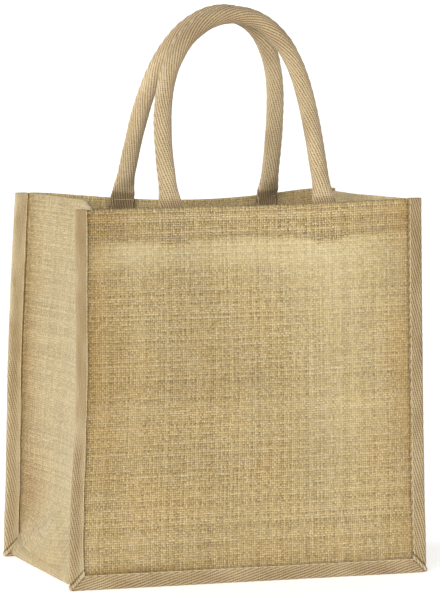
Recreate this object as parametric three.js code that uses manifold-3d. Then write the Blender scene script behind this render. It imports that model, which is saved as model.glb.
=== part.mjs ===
import * as THREE from 'three';
import { mergeVertices } from 'three/addons/utils/BufferGeometryUtils.js';
import Module from 'manifold-3d';

// A square jute tote bag, standing open and empty, in millimetres.
// +X is the wearer's right as the front is seen, +Y runs to the back panel, +Z is up.
// The origin lies on the floor under the middle of the bag.

const wasm = await Module();
wasm.setup();

// Overall size
const depth = 190;
const topLean = 1.5;
const height = 300;

// Cloth and tape
const jute = 1.2;
const tape = 1.0;
const air = 0.4;
const tapeWidth = 12;
const edgeInset = tape + air;
const turnInset = 13.4;
const hemDepth = 26;
const hemTop = 0.3;

// Layers of the seam, from the tape's outer face to the middle of each cloth
const panelLayer = tape + air + jute / 2;
const gussetLayer = panelLayer + jute + air;
const seamDepth = 2 * tape + 2 * jute + 3 * air;

// Half widths over the bindings' outer edges, up each side of each panel
const sideLines = [
  { height: 0, frontLeft: 149.8, frontRight: 149.6, backLeft: 150.4, backRight: 149.8 },
  { height: 28, frontLeft: 150.3, frontRight: 149.0, backLeft: 149.8, backRight: 149.3 },
  { height: 60, frontLeft: 148.3, frontRight: 148.0, backLeft: 148.8, backRight: 148.4 },
  { height: 110, frontLeft: 144.8, frontRight: 147.0, backLeft: 147.6, backRight: 147.0 },
  { height: 160, frontLeft: 142.6, frontRight: 146.0, backLeft: 146.0, backRight: 145.2 },
  { height: 230, frontLeft: 141.9, frontRight: 144.6, backLeft: 142.8, backRight: 142.0 },
  { height: 302, frontLeft: 141.5, frontRight: 143.2, backLeft: 138.8, backRight: 138.1 },
];

// Heights of the front panel's top edge, across the bag
const frontTops = [
  { across: -142, top: 297.8 },
  { across: 40, top: 297.9 },
  { across: 78, top: 299.2 },
  { across: 142, top: 301.4 },
];
const backTops = { left: 299.3, right: 298.1, sag: 6.3 };

// How far each panel's top edge is drawn into the bag at its middle
const bows = { front: 6, back: 26 };
const bowInset = 16;
const bowStart = 40;
const bowRoundness = 1.5;
const bowLift = 1.6;

// Inward folds of the two side walls, at the mouth
const folds = {
  left: { depth: 21, behindMiddle: 8 },
  right: { depth: 8, behindMiddle: 0 },
};
const foldStart = 30;
const foldSoftness = { foot: 0.5, mouth: 0.12 };

// The bottom hangs between its seams and pushes its end corners outwards
const bottomSag = 10.8;
const cornerPush = 10.5;
const cornerReach = 28;
const bulgeStart = 0.012;
const bulgeFull = 0.17;

// Handles: a soft tube of webbing whose ends are pressed flat and sewn inside the hem.
// Each arch has half its spread at the foot, narrows by its taper and drifts sideways as it rises.
const tubeWidth = 13.8;
const endWidth = 20;
const endThickness = 4.4;
const endAir = 0.7;
const endClear = jute * 1.5 + air + endAir + endThickness / 2;
const flatLength = 22;
const flatFade = 26;
const flatSquareness = 0.45;
const flatHeights = [271, 277, 284, 290];
const archFoot = 294;
const archFootLean = 2;
const archOffset = 7.2;
const handles = {
  front: {
    side: -1, top: 446.2, middle: 2.8, spread: 63.8,
    taper: 0, drift: 12, driftPower: 2.6, round: 3.6,
  },
  back: {
    side: 1, top: 447.4, middle: 7.2, spread: 63.4,
    taper: 8.8, drift: 4, driftPower: 1, round: 4,
  },
};

const juteCloth = new THREE.MeshStandardMaterial({ color: 0xc2a876, roughness: 0.95, metalness: 0 });
const gussetCloth = new THREE.MeshStandardMaterial({ color: 0xcbb585, roughness: 0.95, metalness: 0 });
const twillTape = new THREE.MeshStandardMaterial({ color: 0xb29c74, roughness: 0.9, metalness: 0 });
const webbing = new THREE.MeshStandardMaterial({ color: 0xb09a72, roughness: 0.9, metalness: 0 });

// Reads a column of a table at a place, with a smooth curve through its rows
function readTable(table, key, column, place) {
  const last = table.length - 1;
  const at = THREE.MathUtils.clamp(place, table[0][key], table[last][key]);
  let row = 0;
  while (row < last - 1 && table[row + 1][key] < at) row += 1;
  const slope = (a, b) => (table[b][column] - table[a][column]) / (table[b][key] - table[a][key]);
  const span = table[row + 1][key] - table[row][key];
  const before = slope(Math.max(row - 1, 0), row + 1);
  const after = slope(row, Math.min(row + 2, last));
  const t = (at - table[row][key]) / span;
  const start = table[row][column];
  const end = table[row + 1][column];
  const rise = 3 * t * t - 2 * t * t * t;
  return start + (end - start) * rise
    + span * before * (t - 2 * t * t + t * t * t)
    + span * after * (t * t * t - t * t);
}

const smooth = (from, to, value) => THREE.MathUtils.smoothstep(value, from, to);

// A side is -1 at the front and 1 at the back, and an end is -1 at the left and 1 at the right
const panelName = (side) => (side < 0 ? 'front' : 'back');
const endName = (end) => (end < 0 ? 'left' : 'right');

function edgeX(side, end, z) {
  const column = panelName(side) + (end < 0 ? 'Left' : 'Right');
  return end * readTable(sideLines, 'height', column, z);
}

// The y of a layer that lies a given depth inside the tape's outer face
const layerY = (side, z, inside) => side * (depth / 2 - (topLean * z) / height - inside);

// How much of the full bow a panel has at a place across it: none at its bindings
function bowShare(side, x, z) {
  const left = edgeX(side, -1, z) + bowInset;
  const right = edgeX(side, 1, z) - bowInset;
  const t = (2 * x - left - right) / (right - left);
  return Math.max(0, 1 - t * t) ** bowRoundness;
}

function topZ(side, x) {
  if (side < 0) return readTable(frontTops, 'across', 'top', x);
  const left = edgeX(side, -1, height);
  const right = edgeX(side, 1, height);
  const straight = THREE.MathUtils.mapLinear(x, left, right, backTops.left, backTops.right);
  return straight - backTops.sag * bowShare(side, x, height);
}

// A point on a panel's cloth, with extra depth counted from the middle of its outer layer
function panelPoint(side, x, z, inside = 0) {
  const lift = Math.max(0, (z - bowStart) / (height - bowStart)) ** bowLift;
  const bow = bows[panelName(side)] * bowShare(side, x, z) * lift;
  return new THREE.Vector3(x, layerY(side, z, panelLayer + bow + inside), z);
}

// The direction out of the back of a panel's cloth, towards +Y
function panelNormal(side, x, z) {
  const across = panelPoint(side, x + 1, z).sub(panelPoint(side, x - 1, z));
  const up = panelPoint(side, x, z + 1).sub(panelPoint(side, x, z - 1));
  return up.cross(across).normalize();
}

// Closes a mesh of rings, with flat ends cut from the section's own outline
function loft(rings, outline) {
  const count = outline.length;
  const positions = rings.flat().flatMap((p) => [p.x, p.y, p.z]);
  const faces = [];
  for (let ring = 0; ring < rings.length - 1; ring += 1) {
    for (let k = 0; k < count; k += 1) {
      const a = ring * count + k;
      const b = ring * count + ((k + 1) % count);
      faces.push(a, b, b + count, a, b + count, a + count);
    }
  }
  const last = (rings.length - 1) * count;
  for (const [a, b, c] of THREE.ShapeUtils.triangulateShape(outline, [])) {
    faces.push(a, c, b, last + a, last + b, last + c);
  }
  return closedGeometry(positions, faces);
}

// Gives a grid of points the cloth's thickness and closes its rim
function thicken(grid, thickness) {
  const rows = grid.length;
  const columns = grid[0].length;
  const positions = [];
  const halves = [-thickness / 2, thickness / 2];
  for (const offset of halves) {
    for (let i = 0; i < rows; i += 1) {
      for (let j = 0; j < columns; j += 1) {
        const normal = gridNormal(grid, i, j);
        const p = grid[i][j].clone().addScaledVector(normal, offset);
        positions.push(p.x, p.y, p.z);
      }
    }
  }
  const back = rows * columns;
  const at = (i, j) => i * columns + j;
  const faces = [];
  const quad = (a, b, c, d) => faces.push(a, b, c, a, c, d);
  for (let i = 0; i < rows - 1; i += 1) {
    for (let j = 0; j < columns - 1; j += 1) {
      quad(at(i, j), at(i + 1, j), at(i + 1, j + 1), at(i, j + 1));
      quad(back + at(i, j), back + at(i, j + 1), back + at(i + 1, j + 1), back + at(i + 1, j));
    }
  }
  const rim = [];
  for (let j = 0; j < columns; j += 1) rim.push(at(0, j));
  for (let i = 1; i < rows; i += 1) rim.push(at(i, columns - 1));
  for (let j = columns - 2; j >= 0; j -= 1) rim.push(at(rows - 1, j));
  for (let i = rows - 2; i > 0; i -= 1) rim.push(at(i, 0));
  rim.forEach((a, k) => {
    const b = rim[(k + 1) % rim.length];
    quad(a, b, back + b, back + a);
  });
  return closedGeometry(positions, faces);
}

function gridNormal(grid, i, j) {
  const rowA = grid[Math.max(i - 1, 0)][j];
  const rowB = grid[Math.min(i + 1, grid.length - 1)][j];
  const columnA = grid[i][Math.max(j - 1, 0)];
  const columnB = grid[i][Math.min(j + 1, grid[i].length - 1)];
  const down = rowB.clone().sub(rowA);
  const across = columnB.clone().sub(columnA);
  return down.cross(across).normalize();
}

// Merges shared points and turns the faces outwards
function closedGeometry(positions, faces) {
  let volume = 0;
  const corner = (index) => new THREE.Vector3().fromArray(positions, 3 * index);
  for (let k = 0; k < faces.length; k += 3) {
    const [a, b, c] = faces.slice(k, k + 3).map(corner);
    volume += a.dot(b.cross(c));
  }
  const outward = volume > 0 ? faces : faces.slice().reverse();
  const geometry = new THREE.BufferGeometry();
  geometry.setAttribute('position', new THREE.Float32BufferAttribute(positions, 3));
  geometry.setIndex(outward);
  return mergeVertices(geometry, 1e-4);
}

// Joins closed pieces of one cloth into one solid
function join(...geometries) {
  const solids = geometries.map((geometry) => {
    const mesh = new wasm.Mesh({
      numProp: 3,
      vertProperties: new Float32Array(geometry.attributes.position.array),
      triVerts: new Uint32Array(geometry.index.array),
    });
    return new wasm.Manifold(mesh);
  });
  const joined = solids.reduce((all, solid) => all.add(solid)).getMesh();
  const geometry = new THREE.BufferGeometry();
  geometry.setAttribute('position', new THREE.Float32BufferAttribute(joined.vertProperties, 3));
  geometry.setIndex(Array.from(joined.triVerts));
  return geometry;
}

// The section of a folded hem: how far inside the outer layer, and how far below the top edge
const hemInner = jute / 2 + air;
const hemOuter = hemInner + jute;
const hemSection = [
  { inside: 0, drop: hemTop },
  { inside: hemOuter - jute / 2, drop: hemTop },
  { inside: hemOuter, drop: hemTop + jute / 2 },
  { inside: hemOuter, drop: hemDepth },
  { inside: hemInner, drop: hemDepth },
  { inside: hemInner, drop: hemTop + jute },
  { inside: 0, drop: hemTop + jute },
];
const hemOutline = hemSection.map(({ inside, drop }) => new THREE.Vector2(inside, drop));

// Columns of a panel's mesh, and the share of the width at which its hem clears the gusset
const columnCount = 12;
const hemStart = 0.014;

const steps = (count) => Array.from({ length: count + 1 }, (_, k) => k / count);

// A place across a panel at one height, as a share of the way from seam to seam
function seamToSeam(side, z, share) {
  const left = edgeX(side, -1, z) + turnInset;
  const right = edgeX(side, 1, z) - turnInset;
  return THREE.MathUtils.lerp(left, right, share);
}

// Places across a panel at one height: its two cut edges, and even steps between the seams
function columnsAcross(side, z) {
  const between = steps(columnCount).map((share) => seamToSeam(side, z, share));
  return [edgeX(side, -1, z) + edgeInset, ...between, edgeX(side, 1, z) - edgeInset];
}

// Rows of a panel's mesh, as shares of its height
const panelRows = [0, 0.05, 0.14, 0.28, 0.42, 0.56, 0.68, 0.79, 0.88, 0.95, 1];

// One panel: its cloth up to the top edge, and its hem on the inside between the side seams
function panel(side) {
  const grid = panelRows.map((share) => {
    const z = THREE.MathUtils.lerp(edgeInset, height, share);
    return columnsAcross(side, z).map((x) => (
      panelPoint(side, x, THREE.MathUtils.lerp(edgeInset, topZ(side, x), share))
    ));
  });
  const hemColumns = steps(columnCount).map((share) => (
    THREE.MathUtils.clamp(share, hemStart, 1 - hemStart)
  ));
  const rings = hemColumns.map((share) => hemSection.map(({ inside, drop }) => {
    const x = seamToSeam(side, height - drop, share);
    return panelPoint(side, x, topZ(side, x) - drop, inside);
  }));
  return join(thicken(grid, jute), loft(rings, hemOutline));
}

// Heights at which the side seams are described, from the top down to the bottom corner
const seamHeights = [300, 287, 273, 252, 226, 200, 172, 144, 118, 92, 68, 48, 34, 22];

// Places along the bottom seam, as shares of the way from corner to corner
const bottomShares = [0.05, 0.12, 0.24, 0.4, 0.6, 0.76, 0.88, 0.95];

const seamTop = (side, end) => topZ(side, edgeX(side, end, height));

// Stations round the seam from one top end, round the two bottom corners, to the other
function seamStations(side, inset) {
  const leg = (end) => seamHeights.map((level) => {
    const z = level === seamHeights[0] ? seamTop(side, end) : level;
    return { end, z, x: edgeX(side, end, z) - end * inset };
  });
  const corner = (end) => ({ end, corner: true, z: inset, x: edgeX(side, end, 0) - end * inset });
  const left = corner(-1);
  const right = corner(1);
  const bottom = bottomShares.map((share) => (
    { bottom: true, z: inset, x: THREE.MathUtils.lerp(left.x, right.x, share) }
  ));
  return [...leg(-1), left, ...bottom, right, ...leg(1).reverse()];
}

// How deep a soft fold reaches: whole at its valley, none at its seams
function valley(q, softness) {
  const rounded = (value) => Math.sqrt(value * value + softness * softness) - softness;
  return 1 - rounded(q) / rounded(1);
}

// How far the wall at a station is moved from a straight line between its two seams
function wallShift(station, q, leftX, rightX) {
  const bulge = smooth(bulgeStart, bulgeFull, 1 - Math.abs(q));
  if (station.bottom) {
    const fromLeft = Math.exp(-(((station.x - leftX) / cornerReach) ** 2));
    const fromRight = Math.exp(-(((rightX - station.x) / cornerReach) ** 2));
    return { x: cornerPush * bulge * (fromRight - fromLeft), z: -bottomSag * bulge };
  }
  const near = station.corner ? 1 : Math.exp(-(((station.z - turnInset) / cornerReach) ** 2));
  const rise = Math.max(0, (station.z - foldStart) / (height - foldStart));
  const { depth: foldDepth, behindMiddle } = folds[endName(station.end)];
  const shifted = q - (behindMiddle / (depth / 2)) * rise * (1 - q * q);
  const softness = THREE.MathUtils.lerp(foldSoftness.foot, foldSoftness.mouth, rise);
  const inward = foldDepth * rise * valley(shifted, softness);
  return {
    x: station.end * (cornerPush * near * bulge - inward),
    z: -bottomSag * near * bulge,
  };
}

// Points of the gusset's cloth at one station, from the front seam's edge to the back seam's edge
const halfShares = [0.08, 0.24, 0.42, 0.6, 0.78, 0.86, 0.92, 0.96, 0.985, 1];
const wallShares = [...halfShares.map((q) => -q).reverse(), ...halfShares];

function gussetWall(front, back, leftX, rightX) {
  const turnY = (side, z) => layerY(side, z, gussetLayer + jute);
  return wallShares.map((q) => {
    const share = (q + 1) / 2;
    const shift = wallShift(front, q, leftX, rightX);
    return new THREE.Vector3(
      THREE.MathUtils.lerp(front.x, back.x, share) + shift.x,
      THREE.MathUtils.lerp(turnY(-1, front.z), turnY(1, back.z), share),
      THREE.MathUtils.lerp(front.z, back.z, share) + shift.z,
    );
  });
}

// Rows at each mouth that its hem follows
const hemRows = 4;

// The gusset strip: left side, bottom and right side in one length, hemmed at both mouths
function gusset() {
  const edges = [-1, 1].map((side) => seamStations(side, edgeInset));
  const turns = [-1, 1].map((side) => seamStations(side, turnInset - jute));
  const walls = [-1, 1].map((side) => seamStations(side, turnInset));
  const corners = walls[0].filter((station) => station.corner);
  const onLayer = (side, { x, z }) => new THREE.Vector3(x, layerY(side, z, gussetLayer), z);
  const rows = walls[0].map((front, k) => {
    const wall = gussetWall(front, walls[1][k], corners[0].x, corners[1].x);
    const frontFlange = [onLayer(-1, edges[0][k]), onLayer(-1, turns[0][k])];
    const backFlange = [onLayer(1, turns[1][k]), onLayer(1, edges[1][k])];
    return [...frontFlange, ...wall, ...backFlange];
  });
  const cloth = thicken(rows, jute);
  const hems = [gussetHem(rows.slice(0, hemRows)), gussetHem(rows.slice(-hemRows).reverse())];
  return join(cloth, ...hems);
}

// The hem inside one end of the gusset, which follows the top rows of its wall
function gussetHem(rows) {
  const wallRows = rows.map((row) => row.slice(3, -3));
  const towardsInside = wallRows[0][0].x < 0 ? 1 : -1;
  const rings = wallRows[0].map((_, j) => hemSection.map(({ inside, drop }) => {
    let i = 0;
    while (i < wallRows.length - 2 && wallRows[0][j].z - wallRows[i + 1][j].z < drop) i += 1;
    const above = wallRows[i][j];
    const below = wallRows[i + 1][j];
    const share = (above.z - (wallRows[0][j].z - drop)) / (above.z - below.z);
    const normal = gridNormal(wallRows, i, j);
    const inward = Math.sign(normal.x) === towardsInside ? inside : -inside;
    return above.clone().lerp(below, share).addScaledVector(normal, inward);
  }));
  return loft(rings, hemOutline);
}

// The binding's section: a tape folded in half round the seam's edge
const tapeSection = [
  { inset: 0, inside: tape },
  { inset: tape, inside: 0 },
  { inset: tapeWidth, inside: 0 },
  { inset: tapeWidth, inside: tape },
  { inset: tape, inside: tape },
  { inset: tape, inside: seamDepth - tape },
  { inset: tapeWidth, inside: seamDepth - tape },
  { inset: tapeWidth, inside: seamDepth },
  { inset: tape, inside: seamDepth },
  { inset: 0, inside: seamDepth - tape },
];
const tapeOutline = tapeSection.map(({ inset, inside }) => new THREE.Vector2(inset, inside));

function binding(side) {
  const paths = tapeSection.map(({ inset }) => seamStations(side, inset));
  const rings = paths[0].map((_, k) => tapeSection.map(({ inside }, part) => {
    const { x, z } = paths[part][k];
    return new THREE.Vector3(x, layerY(side, z, inside), z);
  }));
  return loft(rings, tapeOutline);
}

// Places on the way from an arch's foot to its top
const archShares = [0.003, 0.02, 0.06, 0.12, 0.2, 0.3, 0.42, 0.56, 0.7, 0.85];

// Where a handle's middle runs: up the inside of the hem, over the arch and down again
function handlePath({ side, top, middle, spread, taper, drift, driftPower, round }) {
  const flatPoint = (end, z) => panelPoint(side, middle + end * spread, z, endClear);
  const topOfFlat = flatHeights[flatHeights.length - 1];
  const flatY = (flatPoint(-1, topOfFlat).y + flatPoint(1, topOfFlat).y) / 2;
  const archPoint = (angle) => {
    const up = Math.sin(angle) ** (2 / round);
    const reach = (spread - taper * up) * Math.cos(angle);
    const z = THREE.MathUtils.lerp(archFoot, top, up);
    const y = THREE.MathUtils.lerp(flatY - side * archFootLean, side * archOffset, up);
    return new THREE.Vector3(middle + drift * up ** driftPower - reach, y, z);
  };
  const quarter = Math.PI / 2;
  const climb = archShares.map((share) => archPoint(share * quarter));
  const fall = archShares.map((share) => archPoint((2 - share) * quarter)).reverse();
  const rising = flatHeights.map((z) => flatPoint(-1, z));
  const falling = flatHeights.map((z) => flatPoint(1, z)).reverse();
  const points = [...rising, ...climb, archPoint(quarter), ...fall, ...falling];
  return new THREE.CatmullRomCurve3(points, false, 'centripetal');
}

const handleSides = 12;
const handleSteps = 56;

function handle(shape) {
  const path = handlePath(shape);
  const length = path.getLength();
  const outline = steps(handleSides).slice(0, -1).map((share) => {
    const angle = share * 2 * Math.PI;
    return new THREE.Vector2(Math.cos(angle), Math.sin(angle));
  });
  const rings = steps(handleSteps).map((share) => {
    const centre = path.getPointAt(share);
    const along = path.getTangentAt(share);
    const fromEnd = Math.min(share, 1 - share) * length;
    const roundness = smooth(flatLength, flatLength + flatFade, fromEnd);
    const flatFacing = panelNormal(shape.side, centre.x, height - hemDepth / 2);
    const facing = flatFacing.lerp(new THREE.Vector3(0, 1, 0), roundness);
    const through = facing.addScaledVector(along, -along.dot(facing)).normalize();
    const across = along.clone().cross(through);
    const wide = THREE.MathUtils.lerp(endWidth, tubeWidth, roundness) / 2;
    const thick = THREE.MathUtils.lerp(endThickness, tubeWidth, roundness) / 2;
    const squareness = THREE.MathUtils.lerp(flatSquareness, 1, roundness);
    return outline.map(({ x, y }) => {
      const u = Math.sign(x) * Math.abs(x) ** squareness * wide;
      const v = Math.sign(y) * Math.abs(y) ** squareness * thick;
      return centre.clone().addScaledVector(across, u).addScaledVector(through, v);
    });
  });
  return loft(rings, outline);
}

const bag = new THREE.Group();

function add(name, geometry, material) {
  const mesh = new THREE.Mesh(geometry, material);
  mesh.name = name;
  bag.add(mesh);
}

add('front_panel', panel(-1), juteCloth);
add('back_panel', panel(1), juteCloth);
add('gusset', gusset(), gussetCloth);
add('binding_front', binding(-1), twillTape);
add('binding_back', binding(1), twillTape);
add('handle_front', handle(handles.front), webbing);
add('handle_back', handle(handles.back), webbing);

export default bag;
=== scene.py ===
import math

import bpy
import numpy as np
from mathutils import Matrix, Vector


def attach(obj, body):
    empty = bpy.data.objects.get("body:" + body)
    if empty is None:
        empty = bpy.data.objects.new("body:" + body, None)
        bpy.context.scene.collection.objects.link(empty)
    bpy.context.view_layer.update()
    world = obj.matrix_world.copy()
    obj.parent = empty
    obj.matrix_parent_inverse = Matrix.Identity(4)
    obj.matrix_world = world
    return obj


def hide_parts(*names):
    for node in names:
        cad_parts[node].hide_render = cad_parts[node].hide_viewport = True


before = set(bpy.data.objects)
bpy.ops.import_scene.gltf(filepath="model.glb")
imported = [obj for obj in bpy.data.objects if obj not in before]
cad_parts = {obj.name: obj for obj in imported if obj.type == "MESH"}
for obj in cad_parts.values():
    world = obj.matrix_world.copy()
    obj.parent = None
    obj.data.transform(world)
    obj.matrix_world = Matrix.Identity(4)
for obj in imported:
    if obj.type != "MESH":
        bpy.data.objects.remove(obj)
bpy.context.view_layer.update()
print("frame loaded:", len(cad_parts), "solids")

# Sizes are in millimetres until a mesh is made. A side is -1 at the front and 1 at the back,
# an end is -1 at the left and 1 at the right.
mm = 0.001
scene = bpy.context.scene

bag = {
    "height": 300,
    "depth": 190,
    "topLean": 1.5,
    "jute": 1.2,  # cloth thickness
    "tape": 1.0,
    "air": 0.4,  # between layers of the seam
    "tapeWidth": 12,
    "turnInset": 13.4,  # where the side cloth turns into the seam
    "cornerRound": 5,
}
bag["edgeInset"] = bag["tape"] + bag["air"]
bag["panelLayer"] = bag["edgeInset"] + bag["jute"] / 2
bag["gussetLayer"] = bag["panelLayer"] + bag["jute"] + bag["air"]
bag["seamDepth"] = 2 * bag["tape"] + 2 * bag["jute"] + 3 * bag["air"]

# Half widths over the bindings, up each side of each panel
sideLines = {
    "heights": [0, 28, 60, 110, 160, 230, 302],
    (-1, -1): [148.0, 148.8, 147.7, 144.6, 142.3, 142.2, 142.5],
    (-1, 1): [149.6, 149.0, 148.0, 147.0, 146.2, 145.2, 144.4],
    (1, -1): [150.9, 150.4, 149.3, 148.2, 147.0, 144.0, 140.1],
    (1, 1): [149.8, 149.3, 148.4, 147.0, 145.2, 142.0, 138.1],
}

# How far the tape reaches in from the edge at the same heights. It was sewn on by eye.
leafWidths = {
    (-1, -1): [12, 11.4, 10.6, 9.0, 8.6, 8.8, 9.4],
    (-1, 1): [12, 11.7, 11.5, 11.6, 11.3, 11.5, 11.2],
    (1, -1): [12, 12, 12, 11.7, 11.2, 10.8, 10.4],
    (1, 1): [12, 11.8, 11.6, 11.6, 11.4, 11.4, 11.2],
}

# The panels' top edges, and how far each is drawn into the bag
topEdges = {
    "frontPlaces": [-142, 40, 78, 142],
    "frontHeights": [297.8, 297.9, 299.2, 301.4],
    "backLeft": 300.3,
    "backRight": 299.0,
    "backSag": 6.2,
    "bow": {-1: 6, 1: 26},
    "bowInset": 16,
    "bowStart": 40,
    "bowRoundness": 1.5,
    "bowLift": 1.6,
}

# The handles' middle lines. A drift leans the arch to the right.
handles = {
    -1: {"top": 446.2, "middle": 2.8, "spread": 63.8, "taper": 0, "drift": 12, "driftPower": 2.6, "round": 3.6},
    1: {"top": 447.4, "middle": 7.2, "spread": 63.4, "taper": 8.8, "drift": 4, "driftPower": 1, "round": 4},
}


# Shape tools

def lerp(a, b, t):
    return a + (b - a) * t


def smoothStep(low, high, value):
    t = np.clip((value - low) / (high - low), 0, 1)
    return t * t * (3 - 2 * t)


def peak(distance, width):
    # 1 at a place, with a soft fall to both sides
    return np.exp(-(distance / width) ** 2)


def throughPoints(places, values, at):
    # A smooth curve through a short table
    places, values = np.array(places, float), np.array(values, float)
    at = np.clip(at, places[0], places[-1])
    slopes = np.diff(values) / np.diff(places)
    middle = (values[2:] - values[:-2]) / (places[2:] - places[:-2])
    slopes = np.concatenate([slopes[:1], middle, slopes[-1:]])
    row = np.clip(np.searchsorted(places, at) - 1, 0, len(places) - 2)
    span = places[row + 1] - places[row]
    t = (at - places[row]) / span
    rise = 3 * t * t - 2 * t ** 3
    bend = slopes[row] * (t - 2 * t * t + t ** 3) + slopes[row + 1] * (t ** 3 - t * t)
    return lerp(values[row], values[row + 1], rise) + span * bend


def softNoise(across, along, size, seed):
    # Smooth random values from -1 to 1, whose hills lie about two sizes apart
    count = 64
    spots = np.random.default_rng(seed).uniform(-1, 1, (count, count))
    a, b = across / size + 10 * count, along / size + 10 * count
    i, j = np.floor(a).astype(int), np.floor(b).astype(int)
    s, t = smoothStep(0, 1, a - i), smoothStep(0, 1, b - j)

    def row(up):
        return lerp(spots[i % count, (j + up) % count], spots[(i + 1) % count, (j + up) % count], s)

    return lerp(row(0), row(1), t)


def unit(vectors):
    return vectors / np.maximum(np.linalg.norm(vectors, axis=-1, keepdims=True), 1e-9)


def runLengths(line):
    # How far along a line each of its points lies
    return np.concatenate([[0], np.cumsum(np.linalg.norm(np.diff(line, axis=0), axis=1))])


def alongLine(line, lengths, at):
    return np.stack([np.interp(at, lengths, line[:, axis]) for axis in range(3)], axis=-1)


def gridNormals(points, towards):
    # Normals of a rows by columns grid, on the side of the given directions
    normals = unit(np.cross(np.gradient(points, axis=0), np.gradient(points, axis=1)))
    sides = np.sign(np.sum(normals * towards, axis=-1, keepdims=True))
    return normals * np.where(sides == 0, 1, sides)


def edgeX(side, end, z):
    return end * throughPoints(sideLines["heights"], sideLines[side, end], z)


def leafWidth(side, end, z):
    return throughPoints(sideLines["heights"], leafWidths[side, end], z)


def layerY(side, z, inside):
    return side * (bag["depth"] / 2 - bag["topLean"] * z / bag["height"] - inside)


def bowShare(side, x, z):
    left = edgeX(side, -1, z) + topEdges["bowInset"]
    right = edgeX(side, 1, z) - topEdges["bowInset"]
    t = (2 * x - left - right) / (right - left)
    return np.maximum(0, 1 - t * t) ** topEdges["bowRoundness"]


def topZ(side, x):
    if side < 0:
        return throughPoints(topEdges["frontPlaces"], topEdges["frontHeights"], x)
    left, right = (edgeX(side, end, bag["height"]) for end in (-1, 1))
    straight = lerp(topEdges["backLeft"], topEdges["backRight"], (x - left) / (right - left))
    return straight - topEdges["backSag"] * bowShare(side, x, bag["height"])


def cornerTop(side, end):
    return topZ(side, edgeX(side, end, bag["height"]))


def panelPoint(side, x, z, inside=0):
    start = topEdges["bowStart"]
    lift = np.maximum(0, (z - start) / (bag["height"] - start)) ** topEdges["bowLift"]
    bow = topEdges["bow"][side] * bowShare(side, x, z) * lift
    x, z = np.broadcast_arrays(x, z)
    return np.stack([x, layerY(side, z, bag["panelLayer"] + bow + inside), z], axis=-1)


# Node tools

class Wire:
    # A socket that is used like a number, so that a formula reads as one line
    def __init__(self, tree, socket):
        self.tree = tree
        self.socket = socket

    def do(self, operation, *others):
        return addWire(self.tree, "ShaderNodeMath", self, *others, operation=operation)

    __add__ = __radd__ = lambda self, other: self.do("ADD", other)
    __mul__ = __rmul__ = lambda self, other: self.do("MULTIPLY", other)
    __sub__ = lambda self, other: self.do("SUBTRACT", other)
    __rsub__ = lambda self, other: self.do("MULTIPLY_ADD", -1, other)
    __truediv__ = lambda self, other: self.do("DIVIDE", other)
    __pow__ = lambda self, other: self.do("POWER", other)

    def wave(self, turns=math.pi):
        return (self * turns).do("COSINE")

    def ripple(self):
        # From 1 at each whole number to 0 half way between
        return self.wave(2 * math.pi) * 0.5 + 0.5

    def between(self, low, high):
        # 0 up to low, 1 from high on, and a soft step between
        return addWire(self.tree, "ShaderNodeMapRange", self, low, high, interpolation_type="SMOOTHSTEP")


def feedSocket(tree, socket, feed):
    if isinstance(feed, Wire):
        feed = feed.socket
    if isinstance(feed, bpy.types.NodeSocket):
        tree.links.new(feed, socket)
    elif feed is not None:
        socket.default_value = feed


def addNode(tree, kind, *feeds, named=None, **settings):
    node = tree.nodes.new(kind)
    for key, value in settings.items():
        setattr(node, key, value)
    for socket, feed in zip(node.inputs, feeds):
        feedSocket(tree, socket, feed)
    for label, feed in (named or {}).items():
        feedSocket(tree, node.inputs[label], feed)
    return node


def addSocket(tree, kind, *feeds, **more):
    return addNode(tree, kind, *feeds, **more).outputs[0]


def addWire(tree, kind, *feeds, **more):
    return Wire(tree, addSocket(tree, kind, *feeds, **more))


def noiseAt(across, along, fineness, seed, detail=1.0):
    # Soft noise from 0 to 1. The fineness is how many hills it has for each step across and along.
    tree = across.tree
    place = addSocket(tree, "ShaderNodeCombineXYZ", across * fineness[0], along * fineness[1], seed)
    return addWire(tree, "ShaderNodeTexNoise", named={"Vector": place, "Scale": 1.0, "Detail": detail})


def unevenness(across, along, fineness, seed):
    # About 1, a little more here and less there
    return noiseAt(across, along, fineness, seed) * 0.6 + 0.7


def startTree(name, inputs):
    # A Geometry Nodes tree with a geometry input, a material, and named inputs for its sizes
    tree = bpy.data.node_groups.new(name, "GeometryNodeTree")
    face = tree.interface
    face.new_socket("Geometry", in_out="INPUT", socket_type="NodeSocketGeometry")
    face.new_socket("Material", in_out="INPUT", socket_type="NodeSocketMaterial")
    for label, value in inputs.items():
        kind = "NodeSocketInt" if isinstance(value, int) else "NodeSocketFloat"
        face.new_socket(label, in_out="INPUT", socket_type=kind).default_value = value
    face.new_socket("Geometry", in_out="OUTPUT", socket_type="NodeSocketGeometry")
    given = addNode(tree, "NodeGroupInput").outputs
    return tree, {socket.name: socket for socket in given if socket.name}


def endTree(tree, geometry, material, smooth=True):
    if smooth:
        geometry = addSocket(tree, "GeometryNodeSetShadeSmooth", geometry)
    real = addSocket(tree, "GeometryNodeRealizeInstances", geometry)
    painted = addSocket(tree, "GeometryNodeSetMaterial", named={"Geometry": real, "Material": material})
    addNode(tree, "NodeGroupOutput", painted)


def storedValue(tree, name):
    return addWire(tree, "GeometryNodeInputNamedAttribute", name, data_type="FLOAT")


def storedVector(tree, name):
    return addSocket(tree, "GeometryNodeInputNamedAttribute", name, data_type="FLOAT_VECTOR")


def addVectors(tree, a, b):
    return addSocket(tree, "ShaderNodeVectorMath", a, b, operation="ADD")


def scaled(tree, vector, factor):
    return addSocket(tree, "ShaderNodeVectorMath", vector, named={"Scale": factor}, operation="SCALE")


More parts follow.
